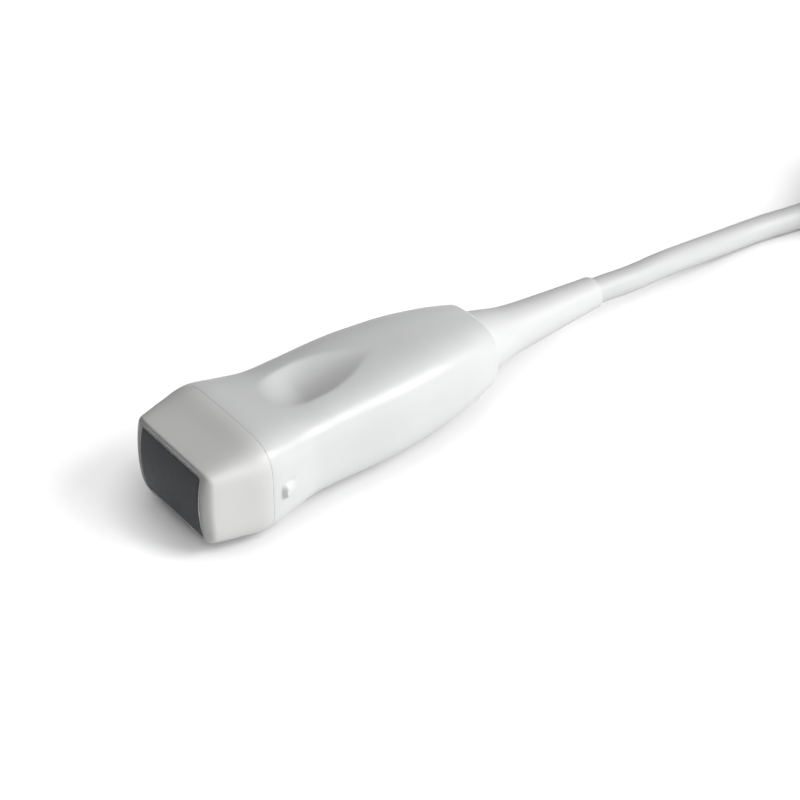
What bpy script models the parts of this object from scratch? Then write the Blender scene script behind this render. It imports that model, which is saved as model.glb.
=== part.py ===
# Hand-held phased array ultrasound transducer with its cable and plug-in connector.
# Units are metres. +Y runs along the probe from the lens to the cable, +X is the side
# with the orientation ridge and +Z is up. The probe lies on the floor at Z = 0.
# Pieces of the probe are drawn with Y counted from the nose face and Z from the probe's axis.

import math

import bmesh
import bpy
import numpy as np

# Gap kept between pieces that touch
CLEARANCE = 0.0003

# Outer form of the body: widths run along X and heights along Z.
# It ends the rear room behind the cable clamp that it holds.
NOSE_LENGTH = 0.0136
REAR_ROOM = 0.0125
NOSE_WIDTH = 0.0278
NOSE_HEIGHT = 0.0186
FLARE_WIDTH = 0.0308
FLARE_HEIGHT = 0.0207
SEAM_WIDTH = 0.0336
FULL_HEIGHT = 0.0240
NECK_WIDTH = 0.0316
NECK_HEIGHT = 0.0220
GRIP_WIDTH = 0.0304
GRIP_HEIGHT = 0.0234
BELLY_WIDTH = 0.0308
TAPER_WIDTH = 0.0288
TAPER_HEIGHT = 0.0231
SHOULDER_WIDTH = 0.0244
SHOULDER_HEIGHT = 0.0205
REAR_WIDTH = 0.0186
REAR_HEIGHT = 0.0168

# Superellipse exponents: 2 is an ellipse, more is squarer
NOSE_SQUARENESS = 9.0
SEAM_SQUARENESS = 4.8
GRIP_SQUARENESS = 3.2
REAR_SQUARENESS = 2.7
WINDOW_SQUARENESS = 18.0

# Rounding of the nose face's rim and of the handle's rear rim
RIM_SIDE = 0.0022
RIM_TOP = 0.0011
RIM_DEPTH = 0.0018
REAR_ROUNDING = 0.0016

# Walls
NOSE_LIP = 0.0018
NOSE_WALL = 0.0013
HANDLE_WALL = 0.0020
REAR_WALL = 0.0026
SPIGOT_LENGTH = 0.0032

# Thumb scallops in the two broad faces
SCALLOP_START = 0.0235
SCALLOP_LENGTH = 0.0285
SCALLOP_WIDTH = 0.0150
SCALLOP_DEPTH = 0.0016

# Orientation ridge on the +X side
RIDGE_PLACE = 0.0178
RIDGE_LENGTH = 0.0038
RIDGE_HEIGHT = 0.0040
RIDGE_RISE = 0.0008
RIDGE_ROOT = 0.0008

# Acoustic stack, front to back
LENS_WIDTH = 0.0210
LENS_HEIGHT = 0.0156
LENS_CROWN = 0.0011
LENS_FLANGE = 0.0007
LENS_FLANGE_DEPTH = 0.0010
MATCHING_DEPTH = 0.0005
PIEZO_DEPTH = 0.0006
ELEMENT_COUNT = 64
ELEMENT_PITCH = 0.0003
KERF_WIDTH = 0.00006
KERF_DEPTH = 0.0004
ELEMENT_HEIGHT = 0.0138
FLEX_DEPTH = 0.0002
FLEX_WIDTH = 0.0160
BACKING_DEPTH = 0.0070
BACKING_HEIGHT = 0.0128

# Aluminium chassis
CHEEK_DEPTH = 0.0013
CHEEK_HEIGHT = 0.0096
BULKHEAD_DEPTH = 0.0015
SPINE_WIDTH = 0.0170
SPINE_DEPTH = 0.0016
BOSS_RADIUS = 0.0020
BOSS_SHARE = 0.58

# Boards, one on each side of the spine
BOARD_START = 0.0190
BOARD_LENGTH = 0.0350
BOARD_WIDTH = 0.0180
BOARD_DEPTH = 0.0008
SOCKET_INSET = 0.0020
SOCKET_LENGTH = 0.0036
SOCKET_WIDTH = 0.0168
SOCKET_HEIGHT = 0.0019
CHIP_SIDE = 0.0095
CHIP_HEIGHT = 0.0011
FRONT_BOSS_INSET = 0.0110
REAR_BOSS_INSET = 0.0052

# Shields over the boards
SHIELD_WALL = 0.0003
SHIELD_ROOM = 0.0004
SHIELD_OVERHANG = 0.0010

# Screws
SHANK_RADIUS = 0.0008
SHANK_LENGTH = 0.0026
HEAD_RADIUS = 0.0016
HEAD_HEIGHT = 0.0010

# Cable clamp
CLAMP_STEP_BACK = 0.0044
CLAMP_LENGTH = 0.0086
CLAMP_WIDTH = 0.0156
CLAMP_HEIGHT = 0.0052
CLAMP_SCREW_PLACE = 0.0059
GROOVE_STEP = 0.0012

# Coax fans from the cable's core to the boards
FAN_ROUND = 0.0010
FAN_FLAT = 0.0004
FAN_LANDING = 0.0020

# Strain relief and cable
CABLE_DIAMETER = 0.0063
BOOT_LENGTH = 0.0356
BOOT_BASE_RADIUS = 0.0079
BOOT_TIP_RADIUS = 0.0037
BOOT_NECK_RADIUS = 0.0049
BOOT_FLANGE_RADIUS = 0.0064
BOOT_FLANGE_DEPTH = 0.0040
BOOT_ROUNDING = 0.0007
BOOT_BORE_SHARE = 0.62

# Hank that puts away the length of cable the lead does not need: two runs joined by two folds
HANK_NEAR = (0.0180, 0.1700)
HANK_RUN = 0.0660
FOLD_RADIUS = 0.0189
TURN_PITCH = 0.0066
TURNS_ACROSS = 2
TURNS_HIGH = 3
HANK_ROUNDING = 0.0024
TIE_START = 0.0440
TIE_WIDTH = 0.0100
TIE_DEPTH = 0.0008

# Connector, with X across, Y from the cable to the mating face and Z up from the hank it lies on
CONNECTOR_STEP = 0.0390
CONNECTOR_WIDTH = 0.0440
CONNECTOR_LENGTH = 0.0400
CONNECTOR_HEIGHT = 0.0180
CONNECTOR_WALL = 0.0020
CONNECTOR_BEVEL = 0.0024
GRIP_GROOVES = 5
GRIP_PITCH = 0.0032
GRIP_GROOVE_DEPTH = 0.0006
SHROUD_WIDTH = 0.0240
SHROUD_HEIGHT = 0.0110
SHROUD_LENGTH = 0.0160
SHROUD_REACH = 0.0060
SHROUD_WALL = 0.0008
CONTACT_COLUMNS = 9
CONTACT_PITCH = 0.0022
CONTACT_WIDTH = 0.0010
CONTACT_DEPTH = 0.0020
CONNECTOR_BOARD_WIDTH = 0.0260
CONNECTOR_BOARD_DEPTH = 0.0012
PILLAR_RADIUS = 0.0026
PILLAR_INSET = 0.0058
RELIEF_LENGTH = 0.0200
RELIEF_BASE_RADIUS = 0.0060
RELIEF_TIP_RADIUS = 0.0040
RELIEF_FLANGE_RADIUS = 0.0060
RELIEF_NECK_RADIUS = 0.0046
HOUSING_HEAD_RADIUS = 0.0019
HOUSING_SEAT = 0.0016
HOUSING_SHANK = 0.0105

# Facets round a ring of the body and round a turned piece
BODY_FACETS = 48
TURNED_FACETS = 28
SCREW_FACETS = 14
HOLE_FACETS = 12
FOLD_FACETS = 18

# Sizes worked out from those above
AXIS_HEIGHT = FULL_HEIGHT / 2
BOARD_END = BOARD_START + BOARD_LENGTH
SOCKET_START = BOARD_START + SOCKET_INSET
FRONT_BOSS_PLACE = BOARD_START + FRONT_BOSS_INSET
REAR_BOSS_PLACE = BOARD_END - REAR_BOSS_INSET
CHIP_START = (FRONT_BOSS_PLACE + REAR_BOSS_PLACE - CHIP_SIDE) / 2
CLAMP_START = BOARD_END + CLAMP_STEP_BACK
CLAMP_END = CLAMP_START + CLAMP_LENGTH
BODY_LENGTH = CLAMP_END + REAR_ROOM
BOOT_START = BODY_LENGTH + CLEARANCE
BOOT_END = BOOT_START + BOOT_LENGTH
CABLE_RADIUS = CABLE_DIAMETER / 2
FACE_Y = (LENS_CROWN - BOOT_END) / 2
LEAD_START_Y = FACE_Y + BOOT_END + 1.5 * CLEARANCE
WINDOW_HALF_WIDTH = LENS_WIDTH / 2 + CLEARANCE
WINDOW_HALF_HEIGHT = LENS_HEIGHT / 2 + CLEARANCE
FLANGE_HALF_WIDTH = LENS_WIDTH / 2 + LENS_FLANGE
FLANGE_HALF_HEIGHT = LENS_HEIGHT / 2 + LENS_FLANGE
CAVITY_HALF_WIDTH = FLANGE_HALF_WIDTH + 2 * CLEARANCE
CAVITY_HALF_HEIGHT = FLANGE_HALF_HEIGHT + CLEARANCE
LENS_BACK = NOSE_LIP + CLEARANCE + LENS_FLANGE_DEPTH
OUTER_MATCHING_START = LENS_BACK + CLEARANCE
INNER_MATCHING_START = OUTER_MATCHING_START + MATCHING_DEPTH + CLEARANCE
PIEZO_START = INNER_MATCHING_START + MATCHING_DEPTH + CLEARANCE
FLEX_START = PIEZO_START + PIEZO_DEPTH + CLEARANCE
BACKING_START = FLEX_START + FLEX_DEPTH + CLEARANCE
BULKHEAD_START = BACKING_START + BACKING_DEPTH + CLEARANCE
SPINE_START = BULKHEAD_START + BULKHEAD_DEPTH
APERTURE = ELEMENT_COUNT * ELEMENT_PITCH
BACKING_HALF_WIDTH = CAVITY_HALF_WIDTH - 2 * CLEARANCE - CHEEK_DEPTH
SHIELD_ROOF = min(GRIP_HEIGHT, FULL_HEIGHT) / 2 - SCALLOP_DEPTH - HANDLE_WALL - SHIELD_ROOM
BOARD_BUILD = SPINE_DEPTH / 2 + CLEARANCE + BOARD_DEPTH + SOCKET_HEIGHT + SHIELD_WALL
BOSS_HEIGHT = BOSS_SHARE * (SHIELD_ROOF - BOARD_BUILD)
BOARD_LEVEL = SPINE_DEPTH / 2 + BOSS_HEIGHT + CLEARANCE
BOARD_TOP = BOARD_LEVEL + BOARD_DEPTH
CABLE_INNER_END = CLAMP_START + CLEARANCE
SPINE_END = CLAMP_START + GROOVE_STEP
CLAMP_CAP_START = SPINE_END + CLEARANCE
GROOVE_RADIUS = CABLE_RADIUS + CLEARANCE
HANK_BASE = TIE_DEPTH + CLEARANCE
HANK_TOP = HANK_BASE + TURN_PITCH * TURNS_HIGH
HANK_INNER_RADIUS = FOLD_RADIUS - TURN_PITCH / 2
HANK_OUTER_RADIUS = HANK_INNER_RADIUS + TURN_PITCH * TURNS_ACROSS
CONNECTOR_Y = HANK_NEAR[1] + CONNECTOR_STEP + RELIEF_LENGTH + 2 * CLEARANCE + CONNECTOR_LENGTH / 2
CONNECTOR_MIDDLE = CONNECTOR_HEIGHT / 2


# Materials

def material(name, colour, roughness, metallic=0.0):
    made = bpy.data.materials.new(name)
    made.use_nodes = True
    shader = made.node_tree.nodes["Principled BSDF"]
    shader.inputs["Base Color"].default_value = (*colour, 1.0)
    shader.inputs["Roughness"].default_value = roughness
    shader.inputs["Metallic"].default_value = metallic
    return made


def make_materials():
    return {
        "handle": material("handle", (0.80, 0.81, 0.82), 0.45),
        "nose": material("nose", (0.76, 0.76, 0.74), 0.5),
        "lens": material("lens", (0.05, 0.055, 0.06), 0.5),
        "boot": material("boot", (0.82, 0.83, 0.84), 0.55),
        "cable": material("cable", (0.74, 0.75, 0.76), 0.5),
        "epoxy": material("epoxy", (0.12, 0.13, 0.14), 0.6),
        "piezo": material("piezo", (0.55, 0.47, 0.36), 0.6),
        "flex": material("flex", (0.62, 0.33, 0.10), 0.4),
        "chassis": material("chassis", (0.72, 0.73, 0.74), 0.35, 1.0),
        "board": material("board", (0.03, 0.22, 0.10), 0.5),
        "shield": material("shield", (0.60, 0.60, 0.58), 0.3, 1.0),
        "steel": material("steel", (0.60, 0.60, 0.62), 0.3, 1.0),
        "coax": material("coax", (0.66, 0.67, 0.70), 0.5),
        "contact": material("contact", (0.05, 0.05, 0.055), 0.5),
        "tie": material("tie", (0.16, 0.17, 0.18), 0.9),
    }


# Small helpers

def clear_scene():
    for thing in list(bpy.data.objects):
        bpy.data.objects.remove(thing, do_unlink=True)


def add_object(name, bm, slot, place, sharp=35.0):
    """Turns a bmesh into a named object with one material, standing at its place."""
    bmesh.ops.recalc_face_normals(bm, faces=bm.faces)
    mesh = bpy.data.meshes.new(name)
    bm.to_mesh(mesh)
    bm.free()
    mesh.materials.append(slot)
    mesh.shade_smooth()
    mesh.set_sharp_from_angle(angle=math.radians(sharp))
    made = bpy.data.objects.new(name, mesh)
    made.location = place
    bpy.context.scene.collection.objects.link(made)
    return made


def hide_tool(tool):
    tool.hide_render = True
    tool.display_type = "WIRE"
    return tool


def combine(target, tool, operation):
    """Adds an exact Boolean to the target and keeps its tool out of the render."""
    step = target.modifiers.new(tool.name, "BOOLEAN")
    step.operation = operation
    step.solver = "EXACT"
    step.object = hide_tool(tool)


def cut(target, tool):
    combine(target, tool, "DIFFERENCE")


def join(target, tool):
    combine(target, tool, "UNION")


def loft(name, rings, slot, place, endless=False):
    """Skins rings of equal length. An endless loft joins its last ring to its first."""
    bm = bmesh.new()
    rows = [[bm.verts.new(point) for point in ring] for ring in rings]
    pairs = list(zip(rows, rows[1:]))
    if endless:
        pairs.append((rows[-1], rows[0]))
    for near, far in pairs:
        for i in range(len(near)):
            j = (i + 1) % len(near)
            bm.faces.new((near[i], near[j], far[j], far[i]))
    if not endless:
        bm.faces.new(rows[0])
        bm.faces.new(rows[-1])
    return add_object(name, bm, slot, place)


def turned(name, profile, slot, place, axis, facets=TURNED_FACETS):
    """Spins a profile of (radius, height) pairs about an axis. One with ends off the axis is closed."""
    bm = bmesh.new()
    across = (1, 0, 0)
    points = [tuple(r * a + h * b for a, b in zip(across, axis)) for r, h in profile]
    verts = [bm.verts.new(point) for point in points]
    edges = [bm.edges.new(pair) for pair in zip(verts, verts[1:])]
    if profile[0][0] or profile[-1][0]:
        edges.append(bm.edges.new((verts[-1], verts[0])))
    bmesh.ops.spin(
        bm, geom=verts + edges, cent=(0, 0, 0), axis=axis, dvec=(0, 0, 0),
        angle=math.tau, steps=facets, use_merge=True, use_duplicate=False,
    )
    bmesh.ops.remove_doubles(bm, verts=bm.verts, dist=1e-6)
    return add_object(name, bm, slot, place)


def block(name, low, high, slot, place, bevel=0.0, segments=2):
    """A box between two corners, with every edge rounded where a bevel is given."""
    bm = bmesh.new()
    bmesh.ops.create_cube(bm, size=1.0)
    for vert in bm.verts:
        vert.co = [(a + b) / 2 + c * (b - a) for a, b, c in zip(low, high, vert.co)]
    made = add_object(name, bm, slot, place)
    if bevel:
        step = made.modifiers.new("rounding", "BEVEL")
        step.width = bevel
        step.segments = segments
        step.limit_method = "ANGLE"
    return made


def prism(name, outline, direction, start, end, slot, place):
    """Extrudes an outline of 2-D points along X ("X": points are y, z) or Z ("Z": x, y)."""
    def spot(a, b, along):
        return (along, a, b) if direction == "X" else (a, b, along)

    bm = bmesh.new()
    face = bm.faces.new([bm.verts.new(spot(a, b, start)) for a, b in outline])
    grown = bmesh.ops.extrude_face_region(bm, geom=[face])
    far = [item for item in grown["geom"] if isinstance(item, bmesh.types.BMVert)]
    bmesh.ops.translate(bm, verts=far, vec=spot(0, 0, end - start))
    return add_object(name, bm, slot, place)


def smooth(places, values, place):
    """Reads a curve through the values that never overshoots between them."""
    step = np.diff(places)
    slope = np.diff(values) / step
    tangent = np.zeros(len(values))
    tangent[0], tangent[-1] = slope[0], slope[-1]
    for i in range(1, len(values) - 1):
        if slope[i - 1] * slope[i] > 0:
            before = 2 * step[i] + step[i - 1]
            after = step[i] + 2 * step[i - 1]
            tangent[i] = (before + after) / (before / slope[i - 1] + after / slope[i])
    i = int(np.clip(np.searchsorted(places, place) - 1, 0, len(step) - 1))
    t = (place - places[i]) / step[i]
    return (
        (1 + 2 * t) * (1 - t) ** 2 * values[i]
        + t * (1 - t) ** 2 * step[i] * tangent[i]
        + t * t * (3 - 2 * t) * values[i + 1]
        + t * t * (t - 1) * step[i] * tangent[i + 1]
    )


def ease(share):
    """Rises from 0 to 1 with level ends."""
    share = min(max(share, 0.0), 1.0)
    return share * share * (3 - 2 * share)


# Sections of the body

def handle_place(share):
    """Distance behind the nose face of a share of the handle's length."""
    return NOSE_LENGTH + share * (BODY_LENGTH - NOSE_LENGTH)


SECTION_PLACES = [
    0.0, NOSE_LENGTH / 2, NOSE_LENGTH, handle_place(0.13), handle_place(0.31),
    handle_place(0.50), handle_place(0.69), handle_place(0.87), BODY_LENGTH,
]
SECTION_WIDTHS = [
    NOSE_WIDTH, FLARE_WIDTH, SEAM_WIDTH, NECK_WIDTH, GRIP_WIDTH,
    BELLY_WIDTH, TAPER_WIDTH, SHOULDER_WIDTH, REAR_WIDTH,
]
SECTION_HEIGHTS = [
    NOSE_HEIGHT, FLARE_HEIGHT, FULL_HEIGHT, NECK_HEIGHT, GRIP_HEIGHT,
    FULL_HEIGHT, TAPER_HEIGHT, SHOULDER_HEIGHT, REAR_HEIGHT,
]
SQUARENESS_PLACES = [0.0, NOSE_LENGTH, handle_place(0.31), BODY_LENGTH]
SQUARENESS = [NOSE_SQUARENESS, SEAM_SQUARENESS, GRIP_SQUARENESS, REAR_SQUARENESS]


def body_section(distance):
    """Half width, half height and squareness of the body's outer skin."""
    return (
        smooth(SECTION_PLACES, SECTION_WIDTHS, distance) / 2,
        smooth(SECTION_PLACES, SECTION_HEIGHTS, distance) / 2,
        smooth(SQUARENESS_PLACES, SQUARENESS, distance),
    )


def quarter_outline(half_width, half_height, squareness, steps):
    """A quarter of a superellipse, its points shared between its length and its turning."""
    angle = np.linspace(0, math.pi / 2, 600)
    x = half_width * np.cos(angle).clip(0) ** (2 / squareness)
    z = half_height * np.sin(angle).clip(0) ** (2 / squareness)
    run = np.concatenate([[0], np.cumsum(np.hypot(np.diff(x), np.diff(z)))])
    heading = np.unwrap(np.arctan2(np.gradient(z), np.gradient(x)))
    turn = np.concatenate([[0], np.cumsum(np.abs(np.diff(heading)))])
    measure = run / run[-1] + turn / turn[-1]
    wanted = np.linspace(0, measure[-1], steps + 1)
    return list(zip(np.interp(wanted, measure, x), np.interp(wanted, measure, z)))


def ring(half_width, half_height, squareness, distance, dished=False):
    """A closed ring of the body at a distance behind the nose face."""
    quarter = quarter_outline(half_width, half_height, squareness, BODY_FACETS // 4)
    half = quarter + [(-x, z) for x, z in reversed(quarter[:-1])]
    whole = half + [(x, -z) for x, z in reversed(half[1:-1])]
    if dished:
        whole = [(x, z - math.copysign(scallop(x, distance), z)) for x, z in whole]
    return [(x, distance, z) for x, z in whole]


def scallop(x, distance):
    """Depth of the thumb scallop: a drop shape, blunt in front and drawn out behind."""
    along = (distance - SCALLOP_START) / SCALLOP_LENGTH
    if not 0 < along < 1:
        return 0.0
    half_width = SCALLOP_WIDTH / 2 * math.sin(math.pi * along ** 0.62) ** 0.6
    across = min(abs(x) / max(half_width, 1e-6), 1.0)
    depth = ease(along / 0.30) * ease((1 - along) / 0.75)
    return SCALLOP_DEPTH * depth * (1 - across ** 2) ** 2


def skin(distance, inset=0.0, dished=False):
    """A ring of the body's outer skin, drawn in by an inset."""
    half_width, half_height, squareness = body_section(distance)
    return ring(half_width - inset, half_height - inset, squareness, distance, dished)


def disc(radius, distance):
    return ring(radius, radius, 2.0, distance)


# Probe shell

def nose_piece(slots, place):
    """One moulding: window lip, flared sides and the spigot that enters the handle."""
    window = (WINDOW_HALF_WIDTH, WINDOW_HALF_HEIGHT, WINDOW_SQUARENESS)
    rings = [ring(*window, 0.0)]
    for step in range(5):
        turn = math.pi / 2 * step / 4
        distance = RIM_DEPTH * (1 - math.cos(turn))
        half_width, half_height, squareness = body_section(distance)
        side = RIM_SIDE * (1 - math.sin(turn))
        top = RIM_TOP * (1 - math.sin(turn))
        rings.append(ring(half_width - side, half_height - top, squareness, distance))
    rear = NOSE_LENGTH - CLEARANCE
    rings += [skin(distance) for distance in np.linspace(RIM_DEPTH, rear, 7)[1:]]
    spigot_end = NOSE_LENGTH + SPIGOT_LENGTH
    outside = HANDLE_WALL + CLEARANCE
    rings += [skin(distance, outside) for distance in (rear, (rear + spigot_end) / 2, spigot_end)]
    half_width, half_height, squareness = body_section(spigot_end)
    inside = outside + NOSE_WALL
    rings.append(ring(half_width - inside, half_height - inside, squareness, spigot_end))
    cavity = (CAVITY_HALF_WIDTH, CAVITY_HALF_HEIGHT, WINDOW_SQUARENESS / 2)
    rings.append(ring(*cavity, NOSE_LENGTH / 2))
    rings.append(ring(*cavity, NOSE_LIP))
    rings.append(ring(*window, NOSE_LIP))
    return loft("nose_piece", rings, slots["nose"], place, endless=True)


def handle_shell(slots, place):
    """One moulding, open at both ends, with thumb scallops and the orientation ridge."""
    front = NOSE_LENGTH
    rear_start = BODY_LENGTH - REAR_ROUNDING
    rings = [skin(distance, 0.0, True) for distance in np.linspace(front, rear_start, 27)]
    for step in range(1, 5):
        turn = math.pi / 2 * step / 4
        distance = rear_start + REAR_ROUNDING * math.sin(turn)
        half_width, half_height, squareness = body_section(rear_start)
        inset = REAR_ROUNDING * (1 - math.cos(turn))
        half_width += (body_section(distance)[0] - half_width) * 0.5
        half_height += (body_section(distance)[1] - half_height) * 0.5
        rings.append(ring(half_width - inset, half_height - inset, squareness, distance))
    opening = BOOT_NECK_RADIUS + CLEARANCE
    inner_rear = BODY_LENGTH - REAR_WALL
    rings.append(disc(opening, BODY_LENGTH))
    rings.append(disc(opening, inner_rear))
    inside = np.linspace(inner_rear, front, 9)
    rings += [skin(distance, HANDLE_WALL, True) for distance in inside]
    shell = loft("handle_shell", rings, slots["handle"], place, endless=True)
    join(shell, orientation_ridge(slots, place))
    return shell


def orientation_ridge(slots, place):
    """Low raised mark moulded on the +X side, just behind the seam."""
    bm = bmesh.new()
    bmesh.ops.create_uvsphere(bm, u_segments=20, v_segments=12, radius=1.0)
    surface = body_section(RIDGE_PLACE)[0]
    size = (RIDGE_RISE + RIDGE_ROOT, RIDGE_LENGTH / 2, RIDGE_HEIGHT / 2)
    middle = (surface - RIDGE_ROOT, RIDGE_PLACE, 0.0)
    for vert in bm.verts:
        vert.co = [m + c * s for m, c, s in zip(middle, vert.co, size)]
    return add_object("orientation_ridge", bm, slots["handle"], place)


def boot_radius(share):
    """Outer radius along the strain relief: a flared base drawn out to a slim tip."""
    shape = [1.0, 0.80, 0.47, 0.23, 0.0]
    blend = smooth([0.0, 0.15, 0.33, 0.65, 1.0], shape, share)
    return BOOT_TIP_RADIUS + (BOOT_BASE_RADIUS - BOOT_TIP_RADIUS) * blend


def strain_relief(slots, place):
    """Soft boot: a flange inside the handle, a neck through its rear wall and a long taper."""
    inner_wall = BODY_LENGTH - REAR_WALL - CLEARANCE
    bore_end = BOOT_START + BOOT_BORE_SHARE * BOOT_LENGTH
    profile = [
        (GROOVE_RADIUS, inner_wall - BOOT_FLANGE_DEPTH),
        (BOOT_FLANGE_RADIUS, inner_wall - BOOT_FLANGE_DEPTH),
        (BOOT_FLANGE_RADIUS, inner_wall),
        (BOOT_NECK_RADIUS, inner_wall),
        (BOOT_NECK_RADIUS, BOOT_START),
        (BOOT_BASE_RADIUS - BOOT_ROUNDING, BOOT_START),
    ]
    for step in range(1, 3):
        turn = math.pi / 2 * step / 2
        radius = boot_radius(BOOT_ROUNDING / BOOT_LENGTH)
        profile.append((
            radius - BOOT_ROUNDING * (1 - math.sin(turn)),
            BOOT_START + BOOT_ROUNDING * (1 - math.cos(turn)),
        ))
    shares = np.linspace(0, 1 - BOOT_ROUNDING / BOOT_LENGTH, 14)[1:]
    profile += [(boot_radius(share), BOOT_START + share * BOOT_LENGTH) for share in shares]
    for step in range(1, 3):
        turn = math.pi / 2 * step / 2
        profile.append((
            BOOT_TIP_RADIUS - BOOT_ROUNDING * (1 - math.cos(turn)),
            BOOT_END - BOOT_ROUNDING * (1 - math.sin(turn)),
        ))
    profile += [(0.0, BOOT_END), (0.0, bore_end), (GROOVE_RADIUS, bore_end)]
    return turned("strain_relief", profile, slots["boot"], place, (0, 1, 0))


# Acoustic stack

def acoustic_lens(slots, place):
    """Silicone lens: a crowned block in the window, with a flange behind the nose's lip."""
    front = -2 * LENS_CROWN
    shoulder = NOSE_LIP + CLEARANCE
    face = (LENS_WIDTH / 2, LENS_HEIGHT / 2, WINDOW_SQUARENESS)
    flange = (FLANGE_HALF_WIDTH, FLANGE_HALF_HEIGHT, WINDOW_SQUARENESS)
    rings = [ring(*face, front), ring(*face, shoulder), ring(*flange, shoulder), ring(*flange, LENS_BACK)]
    lens = loft("acoustic_lens", rings, slots["lens"], place)
    half = LENS_HEIGHT / 2
    radius = (half ** 2 + LENS_CROWN ** 2) / (2 * LENS_CROWN)
    widest = math.asin(half / radius)
    crown = []
    for angle in np.linspace(-widest, widest, 15):
        crown.append((radius - LENS_CROWN - radius * math.cos(angle), radius * math.sin(angle)))
    outline = [(2 * LENS_BACK, -LENS_HEIGHT), (0.0, -LENS_HEIGHT), *crown]
    outline += [(0.0, LENS_HEIGHT), (2 * LENS_BACK, LENS_HEIGHT)]
    tool = prism("lens_crown", outline, "X", -LENS_WIDTH, LENS_WIDTH, slots["lens"], place)
    combine(lens, tool, "INTERSECT")
    return lens


def matching_layer(name, start, slots, place):
    return block(
        name, (-APERTURE / 2, start, -ELEMENT_HEIGHT / 2),
        (APERTURE / 2, start + MATCHING_DEPTH, ELEMENT_HEIGHT / 2), slots["epoxy"], place,
    )


def piezo_array(slots, place):
    """Ceramic bar diced into its elements by kerfs that leave a thin common back."""
    front = PIEZO_START
    back = PIEZO_START + PIEZO_DEPTH
    outline = [(-APERTURE / 2, back), (-APERTURE / 2, front)]
    for kerf in range(1, ELEMENT_COUNT):
        middle = -APERTURE / 2 + kerf * ELEMENT_PITCH
        for side, depth in ((-1, 0.0), (-1, KERF_DEPTH), (1, KERF_DEPTH), (1, 0.0)):
            outline.append((middle + side * KERF_WIDTH / 2, front + depth))
    outline += [(APERTURE / 2, front), (APERTURE / 2, back)]
    half = ELEMENT_HEIGHT / 2
    return prism("piezo_array", outline, "Z", -half, half, slots["piezo"], place)


def flex_circuit(slots, place):
    """One folded strip: behind the array, back along the backing and into the sockets."""
    fold = BACKING_HEIGHT / 2 + CLEARANCE
    entry = BOARD_TOP + SOCKET_HEIGHT / 2
    outer = [
        (FLEX_START, 0.0), (FLEX_START, fold + FLEX_DEPTH),
        (BULKHEAD_START, fold + FLEX_DEPTH), (BOARD_START, entry + FLEX_DEPTH / 2),
        (SOCKET_START - CLEARANCE, entry + FLEX_DEPTH / 2),
    ]
    inner = [
        (SOCKET_START - CLEARANCE, entry - FLEX_DEPTH / 2),
        (BOARD_START, entry - FLEX_DEPTH / 2), (BULKHEAD_START, fold),
        (FLEX_START + FLEX_DEPTH, fold), (FLEX_START + FLEX_DEPTH, 0.0),
    ]
    upper = outer[1:] + inner[:-1]
    lower = [(y, -z) for y, z in reversed(upper)]
    half = FLEX_WIDTH / 2
    return prism("flex_circuit", upper + lower, "X", -half, half, slots["flex"], place)


def backing_block(slots, place):
    low = (-BACKING_HALF_WIDTH, BACKING_START, -BACKING_HEIGHT / 2)
    high = (BACKING_HALF_WIDTH, BACKING_START + BACKING_DEPTH, BACKING_HEIGHT / 2)
    return block("backing_block", low, high, slots["epoxy"], place)


# Chassis and electronics

def clamp_body(name, slots, place, side, start):
    """Half of the cable clamp, a block with a half-round groove on the probe's axis."""
    inner, outer = sorted((side * CLEARANCE / 2, side * CLAMP_HEIGHT))
    low = (-CLAMP_WIDTH / 2, start, inner)
    high = (CLAMP_WIDTH / 2, CLAMP_END, outer)
    return block(name, low, high, slots["chassis"], place)


def chassis(slots, place):
    """Aluminium carrier: cheeks round the backing, a bulkhead, a spine and a cable saddle."""
    outside = CAVITY_HALF_WIDTH - CLEARANCE
    inside = outside - CHEEK_DEPTH
    outline = [
        (-outside, BACKING_START), (-inside, BACKING_START), (-inside, BULKHEAD_START),
        (inside, BULKHEAD_START), (inside, BACKING_START), (outside, BACKING_START),
        (outside, SPINE_START), (-outside, SPINE_START),
    ]
    half = CHEEK_HEIGHT / 2
    body = prism("chassis", outline, "Z", -half, half, slots["chassis"], place)
    overlap = BULKHEAD_DEPTH / 2
    spine = block(
        "chassis_spine", (-SPINE_WIDTH / 2, SPINE_START - overlap, -SPINE_DEPTH / 2),
        (SPINE_WIDTH / 2, SPINE_END, SPINE_DEPTH / 2), slots["chassis"], place,
    )
    join(body, spine)
    saddle = clamp_body("chassis_saddle", slots, place, -1, CLAMP_START)
    join(body, saddle)
    for number, (x, y) in enumerate(boss_places()):
        height = SPINE_DEPTH / 2 + BOSS_HEIGHT
        profile = [(0.0, -height), (BOSS_RADIUS, -height), (BOSS_RADIUS, height), (0.0, height)]
        spot = (place[0] + x, place[1] + y, place[2])
        boss = turned(f"chassis_boss_{number}", profile, slots["chassis"], spot, (0, 0, 1), SCREW_FACETS)
        join(body, boss)
    for number, (x, y) in enumerate(boss_places()):
        through = 2 * BOARD_TOP
        cut(body, screw_hole(f"boss_hole_{number}", x, y, BOARD_TOP, slots, place, through))
    for side in (-1, 1):
        x, y = side * CLAMP_SCREW_PLACE, clamp_screw_distance()
        cut(body, screw_hole(f"saddle_hole_{side + 1}", x, y, CLAMP_HEIGHT, slots, place, saddle_depth()))
    cut(body, cable_groove("saddle_groove", slots, place))
    return body


def boss_places():
    return ((0.0, FRONT_BOSS_PLACE), (0.0, REAR_BOSS_PLACE))


def clamp_screw_distance():
    return (CLAMP_CAP_START + CLAMP_END) / 2


def saddle_depth():
    return CLAMP_HEIGHT + CLAMP_HEIGHT / 2


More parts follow.
